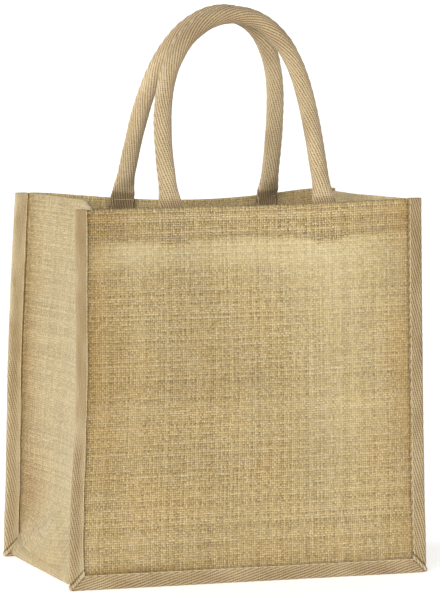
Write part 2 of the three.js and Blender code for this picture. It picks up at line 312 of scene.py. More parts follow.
def reliefTree(name, inputs, height):
    # Moves each point of a cloth in or out by a height that follows from its place in the weave
    tree, given = startTree(name, inputs)
    raised = height(given, storedValue(tree, "across"), storedValue(tree, "along"))
    offset = scaled(tree, addSocket(tree, "GeometryNodeInputNormal"), raised)
    placed = addSocket(tree, "GeometryNodeSetPosition", named={"Geometry": given["Geometry"], "Offset": offset})
    endTree(tree, placed, given["Material"])
    return tree


def tubeAlong(tree, curve, radius, sides):
    ring = addSocket(tree, "GeometryNodeCurvePrimitiveCircle", named={"Resolution": sides, "Radius": radius})
    named = {"Curve": curve, "Profile Curve": ring, "Fill Caps": True}
    return addSocket(tree, "GeometryNodeCurveToMesh", named=named)


# Mesh tools

def newPiece(name, mesh):
    piece = bpy.data.objects.new(name, mesh)
    scene.collection.objects.link(piece)
    return piece


def storeValues(mesh, values):
    # Keeps a number or a direction at each point
    for key, value in values.items():
        value = np.asarray(value, np.float32)
        kind, field = ("FLOAT_VECTOR", "vector") if value.ndim > 1 else ("FLOAT", "value")
        mesh.attributes.new(key, kind, "POINT").data.foreach_set(field, value.reshape(-1))


def gridStrip(points, places, present=None, **values):
    # One patch of a rows by columns grid: its points, faces, map places and point values
    rows, columns = points.shape[:2]
    index = np.arange(rows * columns).reshape(rows, columns)
    quads = np.stack([index[:-1, :-1], index[:-1, 1:], index[1:, 1:], index[1:, :-1]], axis=-1)
    if present is not None:
        quads = quads[present[:-1, :-1] & present[:-1, 1:] & present[1:, :-1] & present[1:, 1:]]
    used, faces = np.unique(quads.reshape(-1, 4), return_inverse=True)
    values.update(across=places[..., 0], along=places[..., 1])
    for key, value in values.items():
        values[key] = np.broadcast_to(value, (rows, columns)).reshape(-1)[used]
    return {
        "points": points.reshape(-1, 3)[used],
        "faces": faces.reshape(-1, 4),
        "places": places.reshape(-1, 2)[used],
        "values": values,
    }


def stripMesh(name, strips, mapName):
    # Joins patches into one object. The map is kept for each face corner, so it may jump at a join.
    starts = np.cumsum([0] + [len(strip["points"]) for strip in strips])
    points, places = (np.concatenate([strip[key] for strip in strips]) for key in ("points", "places"))
    faces = np.concatenate([strip["faces"] + start for strip, start in zip(strips, starts)])
    mesh = bpy.data.meshes.new(name)
    mesh.from_pydata((points * mm).tolist(), [], faces.tolist())
    mesh.uv_layers.new(name=mapName).data.foreach_set("uv", places[faces.reshape(-1)].reshape(-1))
    keys = strips[0]["values"]
    storeValues(mesh, {key: np.concatenate([strip["values"][key] for strip in strips]) for key in keys})
    return newPiece(name, mesh)


def creased(points, normals, creases):
    # Soft troughs and ridges along short lines, placed one by one
    moved = points.copy()
    ramp = 0.2  # the share of its length over which a crease begins and ends
    for start, end, depth, width in creases:
        start, along = np.array(start, float), np.subtract(end, start, dtype=float)
        t = np.clip((points - start) @ along / (along @ along), 0, 1)
        distance = np.linalg.norm(points - (start + t[..., None] * along), axis=-1)
        fade = smoothStep(0, ramp, t) * smoothStep(0, ramp, 1 - t)
        moved += normals * (depth * peak(distance, width) * fade)[..., None]
    return moved


def finishPiece(piece, nodes, tree, material, sizes, thickness=None):
    # Runs the piece's tree, gives a cloth its thickness, and keeps the result as a plain mesh
    modifier = piece.modifiers.new(tree.name, "NODES")
    modifier.node_group = tree
    given = {"Material": material, **sizes}
    for item in tree.interface.items_tree:
        if item.in_out == "INPUT" and item.name in given:
            modifier[item.identifier] = given[item.name]
    if thickness:
        solid = piece.modifiers.new("thickness", "SOLIDIFY")
        solid.thickness = thickness * mm
        solid.offset = 0  # half to each side of its middle
        solid.use_rim = True
    graph = bpy.context.evaluated_depsgraph_get()
    mesh = bpy.data.meshes.new_from_object(
        piece.evaluated_get(graph), preserve_all_data_layers=True, depsgraph=graph
    )
    piece.modifiers.clear()
    piece.data = mesh
    mesh.name = piece.name
    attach(piece, "root")
    if nodes:
        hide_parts(*nodes)
    print(piece.name, "done:", len(mesh.polygons), "faces")
    return piece


# Woven jute: yarns a little uneven, so each crossing is a small knuckle

weave = {
    "warpPitch": 1.7,
    "weftPitch": 1.85,
    "knuckle": 0.16,  # how far a crossing stands out
    "yarnUneven": 0.22,  # thick and thin places along a yarn
    "fine": 0.9,  # how often they change across the yarns
    "long": 0.06,  # and along them
    "hemRows": 14,
    "hemGap": 0.4,
    "turnSteps": 5,
    "underTape": 0.2,  # how far the cloth stays below the tape's upper end
}
weave["turnRoom"] = bag["jute"] + weave["hemGap"] / 2
weaveSizes = {"Knuckle": weave["knuckle"] * mm, "Yarn Uneven": weave["yarnUneven"] * mm, "Seed": 3.0}


def weaveHeight(given, across, along):
    fine, long, apart = weave["fine"], weave["long"], 40
    warp = noiseAt(across, along, (fine, long), given["Seed"])
    weft = noiseAt(across + apart / long, along, (long, fine), given["Seed"])
    knuckle = across.wave() * along.wave() * given["Knuckle"]
    return knuckle + (warp + weft - 1) * given["Yarn Uneven"] * 2


def turnHem(points, places, towards, depths):
    # Turns a cloth's top rows over to the inside. Rows come back as hem, turn and then the cloth.
    normals = gridNormals(points, towards)
    inside = bag["jute"] + weave["hemGap"]
    columns = np.arange(points.shape[1])
    hem = []
    for row in range(weave["hemRows"], -1, -1):
        at = row * depths
        above = np.floor(at).astype(int)
        base = lerp(points[above, columns], points[above + 1, columns], (at - above)[:, None])
        hem.append(base + normals[above, columns] * inside)
    up = unit(points[0] - points[2])
    centre = points[0] + normals[0] * inside / 2
    for angle in np.linspace(math.pi, 0, weave["turnSteps"] + 1)[1:-1]:
        hem.append(centre + (up * math.sin(angle) - normals[0] * math.cos(angle)) * inside / 2)
    counts = places[0, 0, 1] + np.arange(len(hem), 0, -1)[:, None] * np.ones(len(columns))
    hemPlaces = np.stack([np.broadcast_to(places[0, :, 0], counts.shape), counts], axis=-1)
    return np.concatenate([np.array(hem), points]), np.concatenate([hemPlaces, places])


# Jute finish, with painted shade in its dips and holes and a painted glow where light shines through

juteLook = {
    "tint": (0.84, 0.845, 0.83),
    "pale": (0.73, 0.57, 0.32),
    "straw": (0.50, 0.365, 0.165),
    "brown": (0.26, 0.16, 0.055),
    # The gap colour is painted shade, for the dark seen through the holes
    "gap": (0.12, 0.078, 0.03),
    "glowColour": (0.74, 0.66, 0.42),
    "warm": (1.0, 0.885, 0.7),
    "warmth": 5,  # how fast cloth that is darker turns warmer
    "wander": 0.75,  # how far a yarn strays, in yarns
    "spacing": 0.26,  # how uneven the gaps between yarns are
    "yarnWidth": 0.34,
    "yarnWidthSpread": 0.13,
    "knotSpread": 0.16,  # how much the width changes from one crossing to the next
    "layerWidth": 0.03,  # how much thinner the yarns look over a second layer
    # How fine each kind of unevenness is, across a yarn and along it
    "fineness": {"wander": (0.42, 0.2), "streak": (5, 0.45), "slow": (0.8, 0.035), "speckle": (2.1, 2.1)},
    # How much each kind of unevenness shows, round a middle level
    "uneven": {"own": 0.2, "streak": 0.6, "slow": 0.36, "knot": 0.3, "speckle": 0.6},
    "level": 0.61,
    "layerShade": 0.05,
    # Painted shade where a yarn dips, and darkest in the holes, painted as the shade seen through them: from
    # and to a yarn's height, at all crossings, at some of them, and more over a second layer
    "dip": {"heights": (0.0, 0.95), "all": 0.4, "some": 0.3, "layers": 0.02},
    "hole": {"heights": (0.05, 0.55), "all": 0.12, "some": 0.95, "layers": 0.08},
    "calming": 0.72,  # how much the painted glow hides the weave
    "glowShare": 0.5,
    "cloudScale": 16.0,
    "cloudTone": 0.26,
    "cloudWarmth": 0.25,
    "layerWarmth": 0.14,
    "bump": 0.45,
    "streakBump": 0.16,
    "fixed": {"Specular IOR Level": 0.18, "Sheen Weight": 0.12, "Sheen Roughness": 0.6},
}


def mixColors(tree, factor, a, b, blend="MIX"):
    node = addNode(tree, "ShaderNodeMix", data_type="RGBA", blend_type=blend)
    for place, feed in ((0, factor), (6, a), (7, b)):
        if isinstance(feed, tuple):
            feed = (*feed, 1)
        feedSocket(tree, node.inputs[place], feed)
    return node.outputs[2]


def dimmed(tree, colour, level):
    grey = addSocket(tree, "ShaderNodeCombineXYZ", level, level, level)
    return mixColors(tree, 1.0, colour, grey, "MULTIPLY")


def pointValue(tree, name):
    return Wire(tree, addNode(tree, "ShaderNodeAttribute", attribute_name=name).outputs["Fac"])


def objectNoise(tree, scale, detail):
    place = addNode(tree, "ShaderNodeTexCoord").outputs["Object"]
    return addWire(tree, "ShaderNodeTexNoise", named={"Vector": place, "Scale": scale, "Detail": detail})


def whiteNoise(tree, x, y=0.0):
    place = addSocket(tree, "ShaderNodeCombineXYZ", x, y)
    return addWire(tree, "ShaderNodeTexWhiteNoise", named={"Vector": place}, noise_dimensions="2D")


def newMaterial(name, fixed):
    # A material whose fixed values are set straight on its shader
    material = bpy.data.materials.new(name)
    material.use_nodes = True
    shader = material.node_tree.nodes["Principled BSDF"]
    for label, value in fixed.items():
        shader.inputs[label].default_value = value
    return material, material.node_tree, shader.inputs


def mapPlace(tree, mapName):
    place = addSocket(tree, "ShaderNodeUVMap", uv_map=mapName)
    node = addNode(tree, "ShaderNodeSeparateXYZ", place)
    return Wire(tree, node.outputs[0]), Wire(tree, node.outputs[1])


def paint(tree, inputs, colour, tint, roughness, bump):
    feedSocket(tree, inputs["Base Color"], mixColors(tree, 1.0, colour, tint, "MULTIPLY"))
    feedSocket(tree, inputs["Roughness"], roughness)
    feedSocket(tree, inputs["Normal"], addSocket(tree, "ShaderNodeBump", named=bump))


def juteMaterial(name, look, seed):
    material, tree, inputs = newMaterial(name, look["fixed"])
    across, along = mapPlace(tree, "weave")
    fineness = look["fineness"]

    def noise(key, isWeft, shift, detail=2.0):
        return noiseAt(across, along, fineness[key][::-1] if isWeft else fineness[key], seed + shift, detail)

    across = across + (noise("wander", False, 0, 1.0) - 0.5) * look["wander"]
    along = along + (noise("wander", True, 7, 1.0) - 0.5) * look["wander"]
    warpNumber, weftNumber = across.do("ROUND"), along.do("ROUND")
    layers, tone, haze, warm = (pointValue(tree, key) for key in ("layers", "tone", "haze", "warm"))
    cell = whiteNoise(tree, warpNumber + seed, weftNumber)
    knot = whiteNoise(tree, warpNumber + seed + 50, weftNumber)

    def yarn(number, place, top, shift):
        own = whiteNoise(tree, number + shift)
        offset = place - number - (own - 0.5) * look["spacing"] - (knot - 0.5) * look["spacing"]
        width = own * look["yarnWidthSpread"] + look["yarnWidth"] + (cell - 0.5) * look["knotSpread"]
        body = 1 - (offset.do("ABSOLUTE") / (width - layers * look["layerWidth"])) ** 2
        return own, body.do("MAXIMUM", 0).do("SQRT") * (top * 0.6 + 0.4)

    warpTop = along.wave() * warpNumber.wave() * 0.5 + 0.5
    weftTop = 0.5 - across.wave() * weftNumber.wave() * 0.5
    warpOwn, warpHigh = yarn(warpNumber, across, warpTop, seed)
    weftOwn, weftHigh = yarn(weftNumber, along, weftTop, seed + 300)
    high = warpHigh.do("MAXIMUM", weftHigh)
    isWarp = warpHigh.do("GREATER_THAN", weftHigh)

    # Along a yarn the fibres streak, and now and then it is darker
    fine, long = fineness["streak"]
    fibreAcross = isWarp * (across * (fine - long)) + across * long
    fibreAlong = isWarp * (along * (long - fine)) + along * fine
    slowWarp, slowWeft = noise("slow", False, 3), noise("slow", True, 5)
    kinds = {
        "own": isWarp * (warpOwn - weftOwn) + weftOwn,
        "streak": noiseAt(fibreAcross, fibreAlong, (1, 1), seed, 2.0),
        "slow": isWarp * (slowWarp - slowWeft) + slowWeft,
        "knot": knot,
        "speckle": noise("speckle", False, 11, 1.0),
    }
    shade = layers * look["layerShade"] + look["level"]
    for key, kind in kinds.items():
        shade = shade + (kind - 0.5) * look["uneven"][key]
    colour = mixColors(tree, shade.between(0.05, 0.62), look["brown"], look["straw"])
    colour = mixColors(tree, shade.between(0.48, 0.98), colour, look["pale"])

    calm = 1 - haze * look["calming"]

    def sunk(part):
        amount = cell * part["some"] + layers * part["layers"] + part["all"]
        return (1 - high.between(*part["heights"])) * calm * amount

    # Painted shade where a yarn dips, and in the holes
    colour = dimmed(tree, colour, 1 - sunk(look["dip"]))
    colour = mixColors(tree, sunk(look["hole"]).do("MINIMUM", 1), colour, look["gap"])
    # Painted glow where light shines through the cloth
    colour = mixColors(tree, haze * look["glowShare"], colour, look["glowColour"])
    cloud = objectNoise(tree, look["cloudScale"], 3.0)
    # Painted light and shade from the shading patches, with a slow cloud of random tone
    colour = dimmed(tree, colour, tone * ((cloud - 0.5) * look["cloudTone"] + 1))
    warm = cloud.between(0.5, 0.75) * look["cloudWarmth"] + layers * look["layerWarmth"] + warm
    colour = mixColors(tree, warm.do("MINIMUM", 1), colour, look["warm"], "MULTIPLY")
    relief = (high + kinds["streak"] * look["streakBump"]) * calm
    bump = {"Strength": 1.0, "Distance": look["bump"] * mm, "Height": relief}
    paint(tree, inputs, colour, look["tint"], 0.98 - kinds["streak"] * 0.16, bump)
    return material


# The two panels, each with its top edge turned in as a hem. A patch of shading and tone, or of painted glow, is
# its place, its reach along x, y and z, its strength and, for shading and tone, how warm it is. Shading patches
# are painted light and shade together with the cloth's own tone; glow patches are painted light shining through
# the cloth.

panels = {
    "flat": (0.298, 0.326),  # as cut, in metres
    "hemFrom": 12.2,  # the hem stops under the tape
    "hemLine": {"places": [-133, -65, 0, 60, 126], "heights": [272.5, 271.4, 272.9, 271.1, 276.3]},
    "hemEdge": 0.8,
    "slack": 0.7,
    "slackSize": 34,
    "slackSeed": 5,
    "hemTone": 0.005,
    # A dark line just above the hem's lower edge, and below it a line of painted light where light shines
    # through the single layer
    "lines": [{"below": -2.2, "width": 1.8, "tone": -0.13}, {"below": 2.6, "width": 2.6, "tone": 0.07}],
    # The yarns stand out as small knots along the fold at the top, every second one higher, with painted light
    # on the higher knots and painted shade on the lower ones
    "knotShading": 0.3,
    "knotHeight": 0.3,
    "knotMiddle": 0.4,
    # Beside the tape's edge the cloth is in its shade
    "edgeShade": {"depth": 0.34, "place": 0.3, "width": 1.1, "patch": 3.5, "steady": 0.6, "seed": 61},
    # The handle ends show through as rectangles of coarser cloth
    "handleMark": {"halfWidth": 11.6, "low": 267.5, "edge": 0.9, "layers": 1.8},
    "layersShown": {-1: 1, 1: 0.45},  # how plainly the hem shows through
    "tone": {
        -1: [
            # On the front: darker towards the edges, top corners and bottom, with painted shadow under the
            # tape's edge above the left of the foot
            ((-136, -92, 190), (24, 60, 110), -0.18, 0),
            ((-133, -92, 286), (34, 60, 20), -0.14, 0),
            ((132, -92, 286), (34, 60, 20), -0.1, 0),
            ((138, -92, 170), (15, 60, 200), -0.14, 0),
            ((-95, -92, 13), (44, 60, 3), -0.2, 0),
            ((-60, -92, 150), (60, 60, 70), -0.03, 0),
            ((20, -92, 248), (110, 60, 32), 0.04, 0),
            ((20, -92, 8), (140, 60, 22), -0.03, 0),
        ],
        # On the back: painted light on the top of the inside, which lies in the front panel's shade
        1: [((0, 92, 298), (200, 60, 22), 0.42, 1.0)],
    },
    "haze": {
        -1: [
            # Painted glow, where light shines through the single layer: below the hem and down the right side
            ((66, -92, 252), (50, 60, 36), 0.38),
            ((-10, -92, 264), (80, 60, 17), 0.4),
            ((74, -92, 150), (30, 60, 100), 0.3),
            ((-102, -92, 263), (30, 60, 13), 0.42),
        ],
        # Painted glow along the back's top
        1: [((0, 92, 298), (200, 60, 26), 0.3)],
    },
}


def softPatches(points, patches):
    # Slow changes over the cloth: each patch is strongest at its place and fades with distance
    return sum(amount * np.exp(-np.sum(((points - at) / size) ** 2, axis=-1)) for at, size, amount in patches)


def clothLook(points, layers, baseShadingAndTone, shadingAndTonePatches, glowPatches, baseGlow=0):
    # Where a patch darkens the cloth, with painted shade or darker tone, it is warmer too
    change = softPatches(points, [patch[:3] for patch in shadingAndTonePatches])
    warmer = softPatches(points, [(at, size, warm) for at, size, _, warm in shadingAndTonePatches])
    # Painted glow where light shines through the cloth, none where two layers lie
    haze = np.clip(baseGlow + softPatches(points, glowPatches), 0, 1)
    return {
        "layers": layers,
        "tone": baseShadingAndTone + change,
        "warm": np.clip(warmer - change * juteLook["warmth"], 0, 1),
        "haze": haze * (1 - np.minimum(layers, 1)),
    }


def hemLine(x):
    return throughPoints(panels["hemLine"]["places"], panels["hemLine"]["heights"], x)


def besideTape(side, points):
    # A broken line of shade on the cloth along the tape's edge
    x, z = points[..., 0], points[..., 2]
    gap = np.minimum.reduce([
        x - edgeX(side, -1, z) - leafWidth(side, -1, z),
        edgeX(side, 1, z) - leafWidth(side, 1, z) - x,
        z - bag["tapeWidth"],
    ])
    look = panels["edgeShade"]
    patches = softNoise(x + z, x - z, look["patch"], look["seed"] + side)
    broken = look["steady"] + (1 - look["steady"]) * patches
    return look["depth"] * broken * peak(gap - look["place"], look["width"])


def handleMarks(side, points):
    look, place = panels["handleMark"], handles[side]
    away = np.abs(np.abs(points[..., 0] - place["middle"]) - place["spread"])
    beside = 1 - smoothStep(look["halfWidth"] - look["edge"], look["halfWidth"] + look["edge"], away)
    above = smoothStep(look["low"] - look["edge"], look["low"] + look["edge"], points[..., 2])
    return look["layers"] * beside * above


def panelPiece(side, name, node):
    columns = round(2 * edgeX(side, 1, 0) / weave["warpPitch"])
    rows = round(bag["height"] / weave["weftPitch"])
    share, drop = np.meshgrid(np.linspace(0, 1, columns + 1), np.linspace(0, 1, rows + 1))
    level = lerp(bag["height"], bag["edgeInset"], drop)
    left, right = (edgeX(side, end, level) - end * bag["edgeInset"] for end in (-1, 1))
    x = lerp(left, right, share)
    z = lerp(topZ(side, x) - weave["turnRoom"], bag["edgeInset"], drop)
    fromSeam = np.minimum.reduce([x - left, right - x, z])
    free = smoothStep(bag["turnInset"], 3 * bag["turnInset"], fromSeam)
    slack = softNoise(x, z, panels["slackSize"], panels["slackSeed"] + side) * panels["slack"] * free
    places = np.stack([share * columns, (1 - drop) * rows], axis=-1)
    depths = (topZ(side, x[0]) - hemLine(x[0])) / (weave["hemRows"] * weave["weftPitch"])
    points, places = turnHem(panelPoint(side, x, z, slack), places, np.array([0, -side, 0]), depths)
    extra = len(points) - len(x)
    present = np.ones(points.shape[:2], bool)
    present[:extra] = fromSeam[0] > panels["hemFrom"] - bag["edgeInset"]
    points[extra, ~present[0], 2] += weave["turnRoom"] - weave["underTape"]

    below = hemLine(points[..., 0]) - points[..., 2]
    hem = 1 - smoothStep(-panels["hemEdge"], panels["hemEdge"], below)
    layers = np.maximum(hem, handleMarks(side, points)) * panels["layersShown"][side]
    # Painted shade beside the tape, the hem's dark line with painted light below it, and painted light and
    # shade on the fold's knots
    tone = 1 + panels["hemTone"] * layers - besideTape(side, points)
    for line in panels["lines"]:
        tone += line["tone"] * peak(below - line["below"], line["width"])
    fold = slice(weave["hemRows"], extra + 1)
    knots = np.arange(points.shape[1]) % 2 - panels["knotMiddle"]
    tone[fold] += panels["knotShading"] * knots
    points[fold, :, 2] += panels["knotHeight"] * knots
    looks = clothLook(points, layers, tone, panels["tone"][side], panels["haze"][side])
    piece = stripMesh(name, [gridStrip(points, places, present, **looks)], "weave")
    finishPiece(piece, [node], weaveTree, jute, weaveSizes, bag["jute"])
    return piece


weaveTree = reliefTree("weaveRelief", weaveSizes, weaveHeight)
jute = juteMaterial("jute", juteLook, 1.0)
frontCloth = panelPiece(-1, "frontCloth", "front_panel")
backCloth = panelPiece(1, "backCloth", "back_panel")


# The side and bottom cloth: one long strip, hemmed at both mouths

gusset = {
    "flat": (0.214, 0.95),
    "pitchAlong": 1.99,
    "pitchAcross": 1.98,
    "flangeInsets": [1.4, 6.5, 11.6, 12.4],
    "foldDepth": {-1: 21, 1: 8},
    "foldBehind": {-1: 8, 1: 0},
    "foldStart": 30,
    "softness": (0.5, 0.12),  # at the foot and at the mouth
    "bottomSag": 10.8,
    "cornerPush": 11.5,
    "cornerReach": 28,
    "cornerReachAtSeam": 6,
    "bulge": {-1: (0.012, 0.2), 1: (0.005, 0.12)},  # where it begins and is full, at the front and at the back
    "slack": 0.8,
    "slackSize": 26,
    "slackSeed": 21,
    "slackAtSeam": (0.02, 0.2),
    "slackAtFoot": (4, 30),
    "heart": 80,  # height of the place that the cloth's outer face looks away from
    # The inward fold ends in a Y near the floor, whose arms run to the corners
    "forks": {
        -1: {"at": -5, "height": 46, "foot": 7, "depth": 5.4, "ramp": 10, "top": 190},
        1: {"at": 0, "height": 48, "foot": 7, "depth": 2.4, "ramp": 15, "top": 170},
    },
    "forkReach": 90,
    # Each crease is its start, its end, its depth and its width
    "creases": [
        ((-150, 88, 9), (-145, 34, 29), 1.7, 2.4),
        ((-145, 42, 25), (-142, -6, 47), 1.2, 2.6),
        ((-150, -84, 9), (-144, -12, 44), 0.7, 4),
        ((-149, 36, 7), (-148, 14, 17), 1.3, 1.9),
        ((-149, 30, 4), (-148, 8, 14), 1.6, 1.9),
        ((-149, 24, 2), (-149, 2, 12), 1.6, 1.9),
        ((-149, 17, 1), (-149, -4, 10), 1.3, 1.9),
        ((-140, -60, 60), (-139, -66, 180), -0.7, 6),
        ((-141, 62, 70), (-139, 40, 130), -0.5, 7),
        ((149, 84, 12), (146, 20, 36), 1.2, 4),
        ((150, -78, 10), (147, -14, 34), 1.0, 4),
        ((148, 20, 40), (146, -10, 90), -0.8, 5),
    ],
    # The side cloth's shading patches: painted shade on the rear half of the left wall and above the fork's
    # rear arm, darker along its foot, and painted light on its front half, at its front mouth and inside the
    # right wall's top. Its glow patches are painted light on the left wall, strongest beside the front tape and
    # less towards the back, over a painted glow on all of it.
    "baseShadingAndTone": 0.85,
    "tone": [
        ((-145, 92, 140), (30, 24, 160), -0.075, 0.7),
        ((-145, 64, 58), (30, 30, 21), -0.08, 0.5),
        ((-148, -15, 10), (20, 60, 16), -0.09, 0),
        ((-140, -40, 170), (20, 40, 110), 0.04, 0),
        ((-141, -88, 294), (14, 8, 12), 0.14, 0),
        ((140, 0, 290), (30, 90, 30), 0.62, 0.7),
    ],
    "baseGlow": 0.42,
    "haze": [
        ((-143, -76, 150), (14, 13, 190), 0.55),
        ((-143, -10, 170), (14, 42, 150), 0.24),
        ((-143, 92, 150), (24, 38, 180), -0.42),
        ((-145, 66, 66), (30, 34, 40), -0.3),
    ],
}


def seamPath(side, inset):
    # The line round a panel at one inset: down the left, along the bottom, up the right.
    # Gives x, z, how many points the left leg has, and how many the foot has.
    step, turn = gusset["pitchAlong"], bag["cornerRound"]
    steps = round(bag["height"] / step)
    low = inset + turn
    angles = np.linspace(0, math.pi / 2, round(turn * math.pi / 2 / step) + 1)[1:-1]
    legs, centres = [], []
    for end in (-1, 1):
        z = np.linspace(cornerTop(side, end) - weave["turnRoom"], low, steps + 1)
        x = edgeX(side, end, z) - end * inset
        centre = x[-1] - end * turn
        roundX, roundZ = centre + end * turn * np.cos(angles), low - turn * np.sin(angles)
        legs.append(np.stack([np.append(x, roundX), np.append(z, roundZ)]))
        centres.append(centre)
    foot = np.stack([np.linspace(*centres, steps + 1), np.full(steps + 1, inset)])
    line = np.concatenate([legs[0], foot, legs[1][:, ::-1]], axis=1)
    return line[0], line[1], legs[0].shape[1], steps + 1


def valley(q, softness):
    # 1 in the fold and 0 at both seams
    rounded = lambda value: np.sqrt(value * value + softness * softness) - softness
    return 1 - rounded(q) / rounded(1)


def fork(y, z, look):
    # How far the fold is drawn in above the Y's arms
    reach = np.clip(np.abs(y - look["at"]) / gusset["forkReach"], 0, 1)
    arm = lerp(look["height"], look["foot"], reach)
    drawn = smoothStep(0, look["ramp"], z - arm) * (1 - smoothStep(look["height"], look["top"], z))
    return look["depth"] * drawn * (1 - reach)


def gussetFlange(side):
    lines = [seamPath(side, inset)[:2] for inset in gusset["flangeInsets"]]
    return np.stack([np.stack([x, layerY(side, z, bag["gussetLayer"]), z], axis=-1) for x, z in lines], axis=1)


def gussetGrid():
    # Rows follow the seams. Columns go from the front seam to the back one, as q does from -1 to 1.
    inset, halfDepth = bag["turnInset"], bag["depth"] / 2
    count = round((bag["depth"] - 2 * bag["seamDepth"]) / gusset["pitchAcross"])
    q = np.linspace(-1, 1, count + 1)[None, :]
    share = (q + 1) / 2
    frontX, frontZ, legs, feet = seamPath(-1, inset)
    backX, backZ = seamPath(1, inset)[:2]
    station = np.arange(len(frontX))
    isLeft = (station < len(station) / 2)[:, None]
    end = np.where(isLeft, -1, 1)
    onFoot = ((station >= legs) & (station < legs + feet))[:, None]
    x, z = frontX[:, None], frontZ[:, None]
    y = lerp(layerY(-1, z, bag["gussetLayer"]), layerY(1, z, bag["gussetLayer"]), share)

    # Round the lower corners the cloth is pushed outwards
    bulge = np.where(q < 0, smoothStep(*gusset["bulge"][-1], 1 + q), smoothStep(*gusset["bulge"][1], 1 - q))
    reach = gusset["cornerReach"]
    arm = np.clip(np.abs(y - gusset["forks"][-1]["at"]) / halfDepth, 0, 1)
    start = inset + bag["cornerRound"] * (1 - arm)
    near = peak(np.maximum(0, z - start), lerp(reach, gusset["cornerReachAtSeam"], arm))
    corners = peak(frontX[legs + feet - 1] - x, reach) - peak(x - frontX[legs], reach)
    push = gusset["cornerPush"] * bulge

    # The walls fold inwards, the deeper the higher
    rise = np.maximum(0, (z - gusset["foldStart"]) / (bag["height"] - gusset["foldStart"]))
    depth, behind = (np.where(isLeft, gusset[key][-1], gusset[key][1]) for key in ("foldDepth", "foldBehind"))
    shifted = q - behind / halfDepth * rise * (1 - q * q)
    inward = depth * rise * valley(shifted, lerp(*gusset["softness"], rise))
    inward = inward + np.where(isLeft, *(fork(y, z, gusset["forks"][way]) for way in (-1, 1)))

    moveX = np.where(onFoot, push * corners, end * (push * near - inward))
    moveZ = -gusset["bottomSag"] * bulge * np.where(onFoot, 1, near)
    layer = bag["gussetLayer"] + bag["jute"]
    wall = np.stack([
        lerp(x, backX[:, None], share) + moveX,
        lerp(layerY(-1, z, layer), layerY(1, backZ[:, None], layer), share),
        lerp(z, backZ[:, None], share) + moveZ,
    ], axis=-1)
    points = np.concatenate([gussetFlange(-1), wall, gussetFlange(1)[:, ::-1]], axis=1)
    beyond = (inset - np.array(gusset["flangeInsets"])) / gusset["pitchAcross"]
    acrossCounts = np.concatenate([-beyond, np.arange(count + 1), count + beyond[::-1]])
    places = np.stack(np.meshgrid(acrossCounts, -station.astype(float)), axis=-1)

    outX, outZ = points[..., 0] * ~onFoot, 2 * (points[..., 2] - gusset["heart"])
    outward = np.stack([outX, np.zeros_like(outX), outZ], axis=-1)
    normals = gridNormals(points, outward)
    flanges = len(gusset["flangeInsets"])
    free = np.zeros(points.shape[:2])
    free[:, flanges:-flanges] = smoothStep(*gusset["slackAtSeam"], 1 - np.abs(q))
    free *= smoothStep(*gusset["slackAtFoot"], points[..., 2])
    across, along = places[..., 0] * gusset["pitchAcross"], places[..., 1] * gusset["pitchAlong"]
    slack = softNoise(across, along, gusset["slackSize"], gusset["slackSeed"]) * gusset["slack"]
    points = points + normals * (slack * free)[..., None]
    return creased(points, normals, gusset["creases"]), places, flanges


def gussetPiece():
    points, places, flanges = gussetGrid()
    under = flanges - 1  # columns under the tape, which aren't hemmed but reach as high as the hem
    underTape = np.r_[:under, -under:0]
    points[np.ix_([0, -1], underTape, [2])] += weave["turnRoom"] - weave["underTape"]
    level = np.ones(points.shape[1])
    points, places = turnHem(points, places, np.array([1, 0, 0]), level)
    points, places = turnHem(points[::-1], places[::-1], np.array([-1, 0, 0]), level)
    extra = weave["hemRows"] + weave["turnSteps"]
    present = np.ones(points.shape[:2], bool)
    present[np.ix_(np.r_[:extra, -extra:0], underTape)] = False
    layers = np.zeros(points.shape[:2])
    looks = clothLook(points, layers, gusset["baseShadingAndTone"], gusset["tone"], gusset["haze"], gusset["baseGlow"])
    piece = stripMesh("gussetCloth", [gridStrip(points, places, present, **looks)], "weave")
    finishPiece(piece, ["gusset"], weaveTree, jute, weaveSizes, bag["jute"])
    return piece


gussetCloth = gussetPiece()


# Twill tape: slanting ribs that turn back near its edges and are plainer there

twill = {
    "pitch": 2.0,
    "slant": 16.5,  # degrees between a rib and the tape's length
    "lean": 1,
    "turnAt": 12.3,  # from the tape's middle to where the ribs turn back
    "pick": 1.6,  # spacing of the crossing yarns, which break the grooves into dashes
    "broken": 0.6,  # how much they break them
    "sharp": 1.5,
    "contrast": 0.95,
    "grain": 0.55,
    "tint": (0.745, 0.725, 0.63),
    # The groove colour is painted shade in the grooves between the ribs, along with the twill's own darker
    # lines
    "groove": (0.14, 0.085, 0.04),
    "body": (0.40, 0.29, 0.165),
    "ridge": (0.68, 0.58, 0.42),
}
